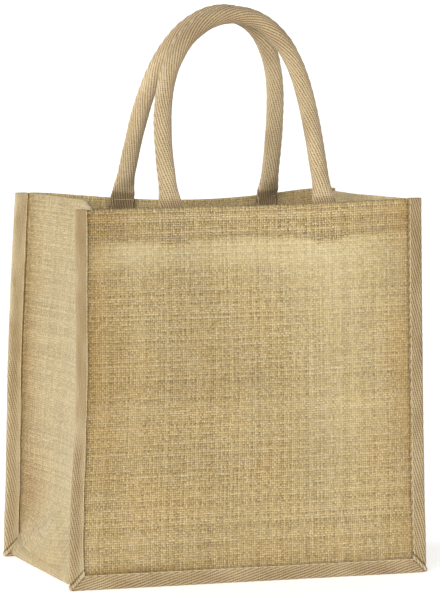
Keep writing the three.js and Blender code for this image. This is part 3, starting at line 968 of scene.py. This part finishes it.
# What the tape and the handles' webbing have in common
tapeLook = {
    "stray": 1.4,  # how far the ribs stray from their line
    # How fine each kind of unevenness is, across the tape and along it
    "fineness": {
        "stray": (0.12, 0.05), "fleck": (1.3, 0.9), "slow": (0.08, 0.03), "fibre": (6, 1.5),
        "lines": (1.8, 0.06), "skip": (0.9, 0.6),
    },
    "level": 0.68,
    "deepening": 1.5,  # how much deeper grooves are where the tape is darker
    "slow": 0.4,
    "fibre": 0.25,
    "lines": 0.12,
    "wornLines": 0.4,
    "bump": 0.35,
    "fixed": {"Specular IOR Level": 0.2, "Sheen Weight": 0.15, "Sheen Roughness": 0.5},
}
binding = {
    "flat": (0.028, 0.88),
    "step": 0.95,
    "bend": 1.5,
    "ribHeight": 0.2,
    "pleatHeight": 1.0,  # the mitre's folded ridge
    "pleatPlace": 1.5,
    "pleatWidth": 1.0,
    "pleatShade": 0.12,
    "grooveDepth": 0.45,
    "grooveShade": 0.6,
    "grooveWidth": 0.6,
    "behindPleat": 3.3,  # where the groove behind the ridge lies
    "fineness": (0.5, 0.3),
    "lump": 0.12,
    "lumpSize": 9,
    "lumpsAcross": 3,  # how much closer they lie across the tape
    "seed": 40,
    "footSeed": 50,
    "pressed": 0.1,  # how much thinner the sewn tape is
    "edgeWander": 0.55,
    "wanderSize": 14,
    "wanderReach": 3,
    "stitchPitch": 3.9,
    "stitchInset": 0.91,  # as a share of the tape's reach
    "stitchWidth": 1 / 9,
    "stitchDip": 0.22,
    # Towards its edges the tape is plain, more so on the uprights, counted from the tape's middle
    "plain": {"from": 7.5, "to": 10.5, "foot": 0.2, (-1, -1): 0.85, (-1, 1): 0.1, (1, -1): 0.85, (1, 1): 0.4},
    # Two uprights are rubbed smooth above these heights
    "rubbed": {
        (-1, -1): {"low": 0.2, "high": 0.86, "from": 95, "to": 135},
        (1, -1): {"low": 0.0, "high": 0.8, "from": 140, "to": 205},
    },
    # Lighter or darker than the rest, below the first height and above the second; on the back left upright
    # this is painted light, where it lies in the bag's shadow
    "shadeHeights": (90, 200),
    "shade": {(-1, -1): (0.0, -0.13), (1, -1): (0.12, 0.08), (-1, 1): (0.06, 0.0), (1, 1): (0.05, 0.0)},
    "footShade": 0.03,
}
bindingSizes = {"Rib Height": binding["ribHeight"] * mm, "Seed": 5.0}


def twillRib(across, along, look):
    # 1 on a rib and 0 between two
    if "turnAt" in look:
        across = across.do("ABSOLUTE").do("PINGPONG", look["turnAt"])
    angle = math.radians(look["slant"])
    return ((across * math.cos(angle) + along * (look["lean"] * math.sin(angle))) / look["pitch"]).ripple()


def ribHeight(given, across, along):
    rib = (twillRib(across, along, twill) - 0.5) * (1 - storedValue(across.tree, "worn"))
    return rib * given["Rib Height"] * unevenness(across, along, binding["fineness"], given["Seed"])


def tapeMaterial(name, look, seed):
    both = tapeLook
    material, tree, inputs = newMaterial(name, both["fixed"])
    across, along = mapPlace(tree, "tape")

    def noise(key, shift, detail=2.0):
        return noiseAt(across, along, both["fineness"][key], seed + shift, detail)

    rib = twillRib(across + (noise("stray", 0, 1.0) - 0.5) * both["stray"], along, look)
    worn, given = pointValue(tree, "worn"), pointValue(tree, "shade")
    pick = (along / look["pick"]).ripple()
    fleck, slow, fibre, lines = noise("fleck", 4, 3.0), noise("slow", 9), noise("fibre", 2), noise("lines", 6)
    dashes = pick * noise("skip", 8, 1.0).between(0.3, 0.62) * look["broken"] + (1 - look["broken"])
    # Painted shade in the grooves between the ribs and at the crossing yarns, along with the twill's own darker
    # lines
    groove = (1 - rib) ** look["sharp"] * dashes * (1 - worn)
    # The stored shade is painted light and shade: on the mitres, the handles' ends and arch tops, and stretches
    # of the tape
    shade = both["level"] - groove * (look["contrast"] - given * both["deepening"]) + given
    shade = shade + (fleck - 0.5) * look["grain"] + (slow - 0.5) * both["slow"] + (fibre - 0.5) * both["fibre"]
    shade = shade + (lines - 0.5) * (worn * both["wornLines"] + both["lines"])
    colour = mixColors(tree, shade.between(0.0, 0.5), look["groove"], look["body"])
    colour = mixColors(tree, shade.between(0.45, 0.95), colour, look["ridge"])
    relief = 0.7 - groove * 0.7 + pick * 0.18 + fibre * 0.2
    bump = {"Strength": 0.9, "Distance": both["bump"] * mm, "Height": relief}
    paint(tree, inputs, colour, look["tint"], 0.95 - fleck * 0.15, bump)
    return material


def tapeSection():
    # The tape's middle line over the seam's edge: how far in from the edge, how deep, and which way is out
    half, bend, deep = bag["tape"] / 2, binding["bend"], bag["seamDepth"]
    flat = np.arange(bag["tapeWidth"], half + bend, -1.0)
    quarter = np.linspace(0, math.pi / 2, 4)
    rising, falling = bend * np.sin(quarter), bend * np.cos(quarter)
    near = half + bend - falling
    inset = np.concatenate([flat, half + bend - rising, near, flat[::-1]])
    far = deep - half - bend + rising
    depth = np.concatenate([np.full(len(flat), half), near, far, np.full(len(flat), deep - half)])
    way = unit(np.stack([np.gradient(inset), np.gradient(depth)], axis=-1))
    return inset, depth, -way[:, 1], way[:, 0]


def tapeStrip(along, stretch, fold, seed):
    # One side of the binding. Its section is moved by the mitre's fold, the pull of the stitches
    # and a little wander.
    look, width = binding, bag["tapeWidth"]
    inset, depth, outInset, outDepth = tapeSection()
    across = runLengths(np.stack([inset, depth], axis=-1))
    across = across - across[-1] / 2
    lumps = softNoise(across[None, :] * look["lumpsAcross"], along, look["lumpSize"], seed)
    row = peak(inset / width - look["stitchInset"], look["stitchWidth"]) * look["stitchDip"]
    pull = row * (0.5 + 0.5 * np.cos(2 * math.pi * along / look["stitchPitch"]))
    swell = lumps * look["lump"] + fold - pull
    wander = softNoise(along, along * 0, look["wanderSize"], seed + 1) * look["edgeWander"]
    edge = smoothStep(width - look["wanderReach"], width, inset)
    return inset * stretch + swell * outInset + wander * edge, depth + swell * outDepth, across


def mitre(distance, isUpright):
    # The fold at a lower corner: how far it stands out, and how much lighter or darker it is, as a painted
    # highlight on the ridge and painted shade in the groove.
    # On an upright that is a ridge with a groove behind it, on the foot a groove alone.
    look = binding
    ridge = peak(distance - look["pleatPlace"], look["pleatWidth"]) * isUpright
    groove = peak(distance - look["behindPleat"] * isUpright, look["grooveWidth"])
    height = look["pleatHeight"] * ridge - look["grooveDepth"] * groove
    return height, look["pleatShade"] * ridge - look["grooveShade"] * groove


def plainness(across, key):
    look = binding["plain"]
    return smoothStep(look["from"], look["to"], np.abs(across)) * look[key]


def bindingPiece(side, name, node):
    insets = tapeSection()[0]
    share = np.linspace(0, 1, round(bag["height"] / binding["step"]) + 1)[:, None]
    aslant = math.cos(math.pi / 4)
    strips = []
    for end in (-1, 1):
        z = lerp(cornerTop(side, end), insets[None, :], share)
        fold, dark = mitre((z - insets) * aslant, True)
        stretch = leafWidth(side, end, z) / bag["tapeWidth"]
        inset, depth, across = tapeStrip(-z, stretch, fold, binding["seed"] + 3 * end + side)
        points = np.stack([edgeX(side, end, z) - end * inset, layerY(side, z, depth), z], axis=-1)
        places = np.stack([np.broadcast_to(across * end, z.shape), -end * z], axis=-1)
        worn = plainness(across, (side, end))
        rub = binding["rubbed"].get((side, end))
        if rub:
            worn = 1 - (1 - worn) * (1 - lerp(rub["low"], rub["high"], smoothStep(rub["from"], rub["to"], z)))
        # The mitre's painted highlight and shade, and each upright's lighter or darker stretches
        shade = dark + lerp(*binding["shade"][side, end], smoothStep(*binding["shadeHeights"], z))
        strips.append(gridStrip(points, places, worn=worn, shade=shade))
    left, right = (edgeX(side, end, insets) - end * insets for end in (-1, 1))
    x = lerp(left, right, share)
    fold, dark = mitre(np.minimum(x - left, right - x) * aslant, False)
    inset, depth, across = tapeStrip(x, 1, fold, binding["footSeed"] + side)
    points = np.stack([x, layerY(side, inset, depth), inset], axis=-1)
    places = np.stack([np.broadcast_to(-across, x.shape), -x], axis=-1)
    strips.append(gridStrip(points, places, worn=plainness(across, "foot"), shade=dark + binding["footShade"]))
    piece = stripMesh(name, strips, "tape")
    thickness = bag["tape"] - binding["pressed"]
    finishPiece(piece, [node], tapeTree, twillTape, bindingSizes, thickness)
    return piece


tapeTree = reliefTree("tapeRibs", bindingSizes, ribHeight)
twillTape = tapeMaterial("twillTape", twill, 2.0)
frontBinding = bindingPiece(-1, "frontBinding", "binding_front")
backBinding = bindingPiece(1, "backBinding", "binding_back")


# Handles: webbing rolled round a soft core, pressed flat where it is sewn in

handleForm = {
    "tubeWidth": 13.8,
    "endWidth": 20,
    "endThickness": 4.4,
    "endAir": 0.7,
    "flatLength": 22,
    "flatFade": 26,
    "squareness": 0.45,
    "flatHeights": [271, 277, 284, 290],
    "facingHeight": 287,  # where the panel's slope sets which way the sewn ends face
    "archFoot": 294,
    "archFootLean": 2,
    "archOffset": 7.2,
    "archPoints": 120,
    "archStart": 0.004,  # as a share of the half turn
    "step": 1.0,
    "smoothing": 5,
    # The last bit of each end is rounded off, down to these shares of its width and thickness
    "close": {"length": 1.6, "width": 0.9, "thickness": 0.6},
    # Where the webbing's two edges meet, the ribs fade out and each edge is a raised selvedge
    "seamFade": 1.5,
    "selvedgePlace": 1.4,
    "selvedgeWidth": 1.2,
    "fineness": (0.4, 0.25),
    "lumpFineness": (0.05, 0.035),
    # The sewn ends are darker below this height, most of all on the inside: painted shade where they lie inside
    # the bag, along with the ends' own darker cloth
    "endShade": {"below": 301.5, "edge": 1.5, -1: -0.2, 1: -0.37},
    # Painted light on the back handle's legs, and painted shade along the top of each arch
    "legShade": {-1: 0.0, 1: 0.05},
    "topShade": {"from": 395, "to": 440, "amount": -0.14},
    "fill": 0.85,
}
tubeSizes = {
    "Sides": 60, "Rib Height": 0.3 * mm, "Selvedge Height": 0.4 * mm, "Lump Height": 1.1 * mm, "Seed": 8.0,
}
webbingTwill = {
    "pitch": 2.1,
    "slant": 16,
    "lean": -1,
    "pick": 1.7,
    "broken": 0.82,
    "sharp": 1.9,
    "contrast": 1.5,
    "grain": 0.85,
    "tint": (0.93, 0.935, 0.935),
    # The groove colour is painted shade in the grooves between the ribs, along with the twill's own darker
    # lines
    "groove": (0.185, 0.12, 0.06),
    "body": (0.46, 0.34, 0.19),
    "ridge": (0.72, 0.585, 0.37),
}


def handleClear():
    return bag["jute"] * 1.5 + bag["air"] + handleForm["endAir"] + handleForm["endThickness"] / 2


def handleLine(side, look):
    # The handle's middle line, from one sewn end over the arch to the other
    form = handleForm
    heights = np.array(form["flatHeights"], float)
    ends = [panelPoint(side, look["middle"] + end * look["spread"], heights, handleClear()) for end in (-1, 1)]
    flatY = (ends[0][-1, 1] + ends[1][-1, 1]) / 2
    angle = np.linspace(form["archStart"], 1 - form["archStart"], form["archPoints"]) * math.pi
    up = np.sin(angle) ** (2 / look["round"])
    reach = (look["spread"] - look["taper"] * up) * np.cos(angle)
    arch = np.stack([
        look["middle"] + look["drift"] * up ** look["driftPower"] - reach,
        lerp(flatY - side * form["archFootLean"], side * form["archOffset"], up),
        lerp(form["archFoot"], look["top"], up),
    ], axis=-1)
    line = np.concatenate([ends[0], arch, ends[1][::-1]])
    lengths = runLengths(line)
    line = alongLine(line, lengths, np.linspace(0, lengths[-1], round(lengths[-1] / form["step"]) + 1))
    for _ in range(form["smoothing"]):
        line[2:-2] = (line[:-4] + line[1:-3] + line[2:-2] + line[3:-1] + line[4:]) / 5
    return line


def sweptTube():
    # Sweeps a round section along a line. The line's points carry the section's two directions and sizes.
    tree, given = startTree("sweptTube", tubeSizes)
    form, seed = handleForm, given["Seed"]
    curve = addSocket(tree, "GeometryNodeMeshToCurve", given["Geometry"])
    spline = addNode(tree, "GeometryNodeSplineParameter")

    def capture(geometry, value, kind):
        node = addNode(tree, "GeometryNodeCaptureAttribute")
        node.capture_items.new(kind, "Value")
        feedSocket(tree, node.inputs["Geometry"], geometry)
        feedSocket(tree, node.inputs["Value"], value)
        return node.outputs["Geometry"], node.outputs["Value"]

    curve, centre = capture(curve, addSocket(tree, "GeometryNodeInputPosition"), "VECTOR")
    curve, along = capture(curve, spline.outputs["Length"], "FLOAT")
    # The arc only carries the section's points, which all get their places below
    circle = addSocket(tree, "GeometryNodeCurveArc", named={
        "Resolution": Wire(tree, given["Sides"]) + 1,
        "Radius": mm,
        "Start Angle": 0.0,
        "Sweep Angle": 2 * math.pi,
    })
    circle, around = capture(circle, spline.outputs["Factor"], "FLOAT")
    tube = addSocket(tree, "GeometryNodeCurveToMesh", named={"Curve": curve, "Profile Curve": circle})
    along, around = Wire(tree, along) / mm, Wire(tree, around)

    # The section goes from a circle to a flat pad. The pad's points are even along its width.
    cosine, sine = around.wave(2 * math.pi), (around * (2 * math.pi)).do("SINE")
    even = 1 - (around * 2).do("PINGPONG", 1) * 2
    corner = form["squareness"]
    flatSine = (1 - even.do("ABSOLUTE") ** (2 / corner)).do("MAXIMUM", 0) ** (corner / 2) * sine.do("SIGN")
    roundness = storedValue(tree, "roundness")
    across = (even + (cosine - even) * roundness) * storedValue(tree, "wide")
    through = (flatSine + (sine - flatSine) * roundness) * storedValue(tree, "thick")

    girth = math.pi * form["tubeWidth"]
    ribAcross = (around - 0.5) * girth
    swell = (twillRib(ribAcross, along, webbingTwill) - 0.5) * given["Rib Height"]
    swell = swell * unevenness(ribAcross, along, form["fineness"], seed)
    fromSeam = girth / 2 - ribAcross.do("ABSOLUTE")
    selvedge = 1 - (fromSeam - form["selvedgePlace"]).do("ABSOLUTE").between(0.0, form["selvedgeWidth"])
    lump = (noiseAt(ribAcross, along, form["lumpFineness"], seed) - 0.5) * given["Lump Height"]
    grow = (swell + lump) * fromSeam.between(0.0, form["seamFade"]) + selvedge * given["Selvedge Height"]
    wide = scaled(tree, storedVector(tree, "acrossWay"), across)
    sideways = addVectors(tree, wide, scaled(tree, storedVector(tree, "throughWay"), through))
    outward = addSocket(tree, "ShaderNodeVectorMath", sideways, operation="NORMALIZE")
    grown = addVectors(tree, sideways, scaled(tree, outward, grow * storedValue(tree, "grow")))
    placed = addSocket(tree, "GeometryNodeSetPosition", named={
        "Geometry": tube, "Position": addVectors(tree, centre, grown),
    })
    mapped = addSocket(tree, "ShaderNodeCombineXYZ", ribAcross, along)
    stored = addSocket(tree, "GeometryNodeStoreNamedAttribute", data_type="FLOAT2", domain="CORNER",
                       named={"Geometry": placed, "Name": "tape", "Value": mapped})
    merged = addSocket(tree, "GeometryNodeMergeByDistance", named={"Geometry": stored, "Distance": 0.02 * mm})
    endTree(tree, addSocket(tree, "GeometryNodeFlipFaces", merged), given["Material"])
    return tree


def handlePiece(side, name, node):
    form = handleForm
    line = handleLine(side, handles[side])
    way = unit(np.gradient(line, axis=0))
    lengths = runLengths(line)
    fromEnd = np.minimum(lengths, lengths[-1] - lengths)
    roundness = smoothStep(form["flatLength"], form["flatLength"] + form["flatFade"], fromEnd)

    # The sewn ends lie along the panel, and the tube faces the back
    x, z = line[:, 0], np.full(len(line), float(form["facingHeight"]))
    across = panelPoint(side, x + 1, z) - panelPoint(side, x - 1, z)
    upwards = panelPoint(side, x, z + 1) - panelPoint(side, x, z - 1)
    facing = lerp(unit(np.cross(upwards, across)), np.array([0, 1, 0]), roundness[:, None])
    through = unit(facing - way * np.sum(facing * way, axis=1, keepdims=True))

    # Both tips close to a point, so that the tube has no open end
    close, isOpen = form["close"], np.where(fromEnd < 1e-6, 0, 1)
    full = np.sqrt(np.clip(1 - (1 - np.minimum(fromEnd, close["length"]) / close["length"]) ** 2, 0, 1))
    wide = lerp(form["endWidth"], form["tubeWidth"], roundness) / 2 * lerp(close["width"], 1, full)
    thick = lerp(form["endThickness"], form["tubeWidth"], roundness) / 2 * lerp(close["thickness"], 1, full)

    # Painted light and shade along the handle, and on its sewn ends
    end, top = form["endShade"], form["topShade"]
    shade = form["legShade"][side] + top["amount"] * smoothStep(top["from"], top["to"], line[:, 2])
    shade += end[side] * smoothStep(-end["edge"], end["edge"], end["below"] - line[:, 2])
    mesh = bpy.data.meshes.new(name)
    mesh.from_pydata((line * mm).tolist(), [(i, i + 1) for i in range(len(line) - 1)], [])
    storeValues(mesh, {
        "wide": wide * isOpen * mm, "thick": thick * isOpen * mm, "roundness": roundness, "grow": isOpen,
        "shade": shade, "acrossWay": np.cross(way, through), "throughWay": through,
    })
    piece = finishPiece(newPiece(name, mesh), [node], tubeTree, webbing, tubeSizes)
    return piece


tubeTree = sweptTube()
webbing = tapeMaterial("webbing", webbingTwill, 30.0)
frontHandle = handlePiece(-1, "frontHandle", "handle_front")
backHandle = handlePiece(1, "backHandle", "handle_back")


# Stitches: each one is an arched piece of thread

thread = {
    "radius": 0.27,
    "lift": 0.42,
    "arch": 0.6,  # lower is squarer
    "sides": 6,
    "steps": 6,
    "start": 0.4,
    "longStitch": (3.9, 3.2),  # from one stitch to the next, and a stitch's length
    "boxStitch": (3.1, 2.6),
    "jitter": 0.22,
    "seed": 100,
    "bite": 0.12,  # how deep the stitches' ends go in
    "hemLine": 3.2,  # above the hem's lower edge
    "hemReach": 124,
    # A box of stitches on each handle end, and how deep their ends go in
    "handleBox": {"halfWidth": 8.2, "low": 273.6, "high": 293.2, "insideHigh": 294.7},
    "boxBite": {"outside": 0.1, "inside": 0.25},
    # The inside rows follow the handle as it leaves the panel
    "handleLean": {"from": 287, "to": 295, "by": 2.1},
    "sunk": 0.55,  # how much darker the thread is where it has sunk into the cloth
    "hemSunk": 0.3,
    "colour": (0.62, 0.50, 0.30),
}
threadSizes = {"Radius": thread["radius"] * mm}


def threadTree():
    tree, given = startTree("threadRun", threadSizes)
    curve = addSocket(tree, "GeometryNodeMeshToCurve", given["Geometry"])
    curve = addSocket(tree, "GeometryNodeResampleCurve", named={"Curve": curve, "Count": thread["steps"]})
    factor = Wire(tree, addNode(tree, "GeometryNodeSplineParameter").outputs["Factor"])
    arch = (factor * (1 - factor) * 4) ** thread["arch"]
    offset = scaled(tree, storedVector(tree, "lift"), arch)
    curve = addSocket(tree, "GeometryNodeSetPosition", named={"Geometry": curve, "Offset": offset})
    endTree(tree, tubeAlong(tree, curve, given["Radius"], thread["sides"]), given["Material"])
    return tree


def threadMaterial(name, colour):
    material, tree, inputs = newMaterial(name, {"Roughness": 0.85, "Specular IOR Level": 0.25})
    level = (objectNoise(tree, 900.0, 2.0) * 0.7 + 0.65) * (1 - pointValue(tree, "sunk"))
    feedSocket(tree, inputs["Base Color"], dimmed(tree, colour, level))
    return material


def stitchRun(line, outward, sunk, seed, pitch, length):
    # Places stitches along a line: their two ends, and which way and how far they arch
    chance = np.random.default_rng(seed)
    lengths = runLengths(line)
    starts = np.arange(thread["start"], lengths[-1] - length, pitch)
    starts = starts + chance.uniform(-1, 1, len(starts)) * thread["jitter"]
    ends = starts + length + chance.uniform(-1, 1, len(starts)) * thread["jitter"]
    pair = np.stack([starts, np.minimum(ends, lengths[-1])], axis=1)
    lift = np.tile(outward, (pair.size, 1)) * thread["lift"] * (1 - sunk)
    return alongLine(line, lengths, pair.reshape(-1)), lift, np.full(pair.size, float(sunk))


def seamRows():
    # Along every binding, on its outer and its inner side
    rows, share = [], binding["stitchInset"]
    for side in (-1, 1):
        for deep, way in ((thread["bite"], side), (bag["seamDepth"] - thread["bite"], -side)):
            legs = []
            for end in (-1, 1):
                z = np.arange(cornerTop(side, end) - 1, share * bag["tapeWidth"], -1.0)
                x = edgeX(side, end, z) - end * share * leafWidth(side, end, z)
                legs.append(np.stack([x, layerY(side, z, deep), z], axis=-1))
            rows.append((np.concatenate([legs[0], legs[1][::-1]]), [0, way, 0], 0))
    return rows


def hemRows():
    # Along the panels' hems, outside and inside, and along the mouths of the side cloth
    rows, sunk = [], thread["hemSunk"]
    outer, inner = bag["jute"] / 2 - thread["bite"], 1.5 * bag["jute"] + weave["hemGap"] - thread["bite"]
    x = np.arange(-thread["hemReach"], thread["hemReach"] + 0.5, 1.0)
    for side in (-1, 1):
        for deep, way in ((-outer, side), (inner, -side)):
            line = panelPoint(side, x, hemLine(x) + thread["hemLine"], deep)
            rows.append((line, [0, way, 0], sunk * (way == side)))
    cloth, _, flanges = gussetGrid()
    row = weave["hemRows"] - 2
    for place, end in ((row, -1), (-1 - row, 1)):
        line = cloth[place, flanges + 2:-flanges - 2]
        for deep, way in ((outer, 1), (-inner, -1)):
            rows.append((line + [end * deep, 0, 0], [end * way, 0, 0], sunk * (way > 0)))
    return rows


def handleRows():
    # A box through each handle end, seen outside on the panel and inside on the end
    rows, box, lean, bite = [], thread["handleBox"], thread["handleLean"], thread["boxBite"]
    wide, low = box["halfWidth"], box["low"]
    inner = handleClear() + handleForm["endThickness"] / 2 - bite["inside"]
    t = np.linspace(0, 1, 24)
    for side in (-1, 1):
        faces = ((bite["outside"] - bag["jute"] / 2, side, box["high"]), (inner, -side, box["insideHigh"]))
        for end in (-1, 1):
            middle = handles[side]["middle"] + end * handles[side]["spread"]
            for deep, way, top in faces:
                corners = [(-wide, low), (wide, low), (wide, top), (-wide, top), (-wide, low)]
                for (fromX, fromZ), (toX, toZ) in zip(corners, corners[1:]):
                    z = lerp(fromZ, toZ, t)
                    away = lean["by"] * smoothStep(lean["from"], lean["to"], z) * (way != side)
                    line = panelPoint(side, middle + lerp(fromX, toX, t), z, deep + away)
                    rows.append((line, [0, way, 0], thread["sunk"] * (way == side)))
    return rows


def stitching():
    runs = []
    for rows, stitch in ((seamRows(), "longStitch"), (hemRows(), "longStitch"), (handleRows(), "boxStitch")):
        for row in rows:
            runs.append(stitchRun(*row, thread["seed"] + len(runs), *thread[stitch]))
    points, lifts, sunk = (np.concatenate(part) for part in zip(*runs))
    mesh = bpy.data.meshes.new("stitching")
    mesh.from_pydata((points * mm).tolist(), [(i, i + 1) for i in range(0, len(points), 2)], [])
    storeValues(mesh, {"lift": lifts * mm, "sunk": sunk})
    material = threadMaterial("thread", thread["colour"])
    finishPiece(newPiece("stitching", mesh), [], threadTree(), material, threadSizes)


stitching()


# Loose fibres: short bent hairs that stand off the cloth

fibres = {
    "length": 4.2,
    "radius": 0.05,
    "bend": 1.6,
    "sides": 3,
    "steps": 5,
    "tilt": 1.25,  # how far a hair leans and turns at most, in radians
    "turn": 3.1,
    "scales": (0.35, 1.1),
    "colour": (0.66, 0.53, 0.31),
}
fibreSizes = {
    "Density": 2600.0, "Length": fibres["length"] * mm, "Radius": fibres["radius"] * mm,
    "Bend": fibres["bend"] * mm, "Seed": 11,
}


def fibreTree():
    tree, given = startTree("looseFibres", fibreSizes)
    spread = addNode(tree, "GeometryNodeDistributePointsOnFaces", named={
        "Mesh": given["Geometry"], "Density": given["Density"], "Seed": given["Seed"],
    })

    def chance(low, high, shift, kind="FLOAT"):
        node = addNode(tree, "FunctionNodeRandomValue", data_type=kind)
        live = [socket for socket in node.inputs if socket.enabled]
        live[0].default_value, live[1].default_value = low, high
        feedSocket(tree, live[-1], Wire(tree, given["Seed"]) + shift)
        return next(socket for socket in node.outputs if socket.enabled)

    tip = addSocket(tree, "ShaderNodeCombineXYZ", given["Bend"], 0.0, given["Length"])
    middle = addSocket(tree, "ShaderNodeCombineXYZ", 0.0, given["Bend"], Wire(tree, given["Length"]) * 0.5)
    hair = addSocket(tree, "GeometryNodeCurveQuadraticBezier", named={
        "Resolution": fibres["steps"], "Start": (0, 0, 0), "Middle": middle, "End": tip,
    })
    hair = tubeAlong(tree, hair, given["Radius"], fibres["sides"])
    tilt, turn = fibres["tilt"], fibres["turn"]
    anyWay = chance((-tilt, -tilt, -turn), (tilt, tilt, turn), 1, "FLOAT_VECTOR")
    turned = addNode(tree, "FunctionNodeRotateRotation", spread.outputs["Rotation"], rotation_space="LOCAL")
    feedSocket(tree, turned.inputs[1], anyWay)
    placed = addSocket(tree, "GeometryNodeInstanceOnPoints", named={
        "Points": spread.outputs["Points"], "Instance": hair, "Rotation": turned.outputs[0],
        "Scale": chance(*fibres["scales"], 2),
    })
    endTree(tree, placed, given["Material"], smooth=False)
    return tree


hairTree = fibreTree()
hairMaterial = threadMaterial("fibre", fibres["colour"])
for source, density, slot, seed in (
    (frontCloth, 2600.0, "jute_panel", 11),
    (backCloth, 2200.0, "jute_panel", 12),
    (gussetCloth, 2200.0, "jute_gusset", 13),
    (frontHandle, 9000.0, "webbing", 14),
    (backHandle, 9000.0, "webbing", 15),
    (frontBinding, 2600.0, "twill_tape", 16),
    (backBinding, 2600.0, "twill_tape", 17),
):
    coat = newPiece(source.name + "Fibres", source.data)
    finishPiece(coat, [], hairTree, hairMaterial, {**fibreSizes, "Density": density, "Seed": seed})


# Floor, light and camera

studio = {
    "floorSize": 60,
    "floor": {
        "Base Color": (0.9, 0.9, 0.9, 1),
        "Emission Color": (1, 1, 1, 1),
        "Emission Strength": 0.55,
        "Roughness": 0.9,
        "Specular IOR Level": 0.1,
    },
    "world": 0.25,
    "lights": {
        "leftRear": {"from": (-0.75, 0.55, 0.16), "strength": 2.05, "spread": 45},
        "frontLeft": {"from": (-0.62, -0.76, 0.18), "strength": 3.15, "spread": 36},
        "frontRight": {"from": (0.62, -0.75, 0.3), "strength": 0.5, "spread": 50},
        "rightRear": {"from": (0.6, 0.8, 0.25), "strength": 0.9, "spread": 60},
    },
    "lens": 232.4,
    "sensor": 36,
    "farthest": 200,
    "yaw": 18.5,
    "pitch": 5.1,
    "distance": 3.12,
    "target": (0.006, 0, 0.217),
}


def studioSetup():
    half = studio["floorSize"]
    mesh = bpy.data.meshes.new("floor")
    corners = [(-half, -half, 0), (half, -half, 0), (half, half, 0), (-half, half, 0)]
    mesh.from_pydata(corners, [], [(0, 1, 2, 3)])
    mesh.materials.append(newMaterial("floorPaper", studio["floor"])[0])
    newPiece("floor", mesh)
    scene.world = bpy.data.worlds.new("studio")
    scene.world.use_nodes = True
    sky = scene.world.node_tree.nodes["Background"]
    sky.inputs["Color"].default_value = (1, 1, 1, 1)
    sky.inputs["Strength"].default_value = studio["world"]
    for name, lamp in studio["lights"].items():
        sun = bpy.data.lights.new(name, "SUN")
        sun.energy = lamp["strength"]
        sun.angle = math.radians(lamp["spread"])
        newPiece(name, sun).rotation_euler = Vector(lamp["from"]).to_track_quat("Z", "Y").to_euler()
    yaw, pitch = math.radians(studio["yaw"]), math.radians(studio["pitch"])
    forward = Vector((math.sin(yaw) * math.cos(pitch), math.cos(yaw) * math.cos(pitch), -math.sin(pitch)))
    lens = bpy.data.cameras.new("camera")
    lens.lens = studio["lens"]
    lens.sensor_width = studio["sensor"]
    lens.clip_end = studio["farthest"]
    camera = newPiece("camera", lens)
    camera.location = Vector(studio["target"]) - forward * studio["distance"]
    camera.rotation_euler = forward.to_track_quat("-Z", "Y").to_euler()
    scene.camera = camera
    scene.view_settings.view_transform = "Standard"


studioSetup()
print("studio ready")
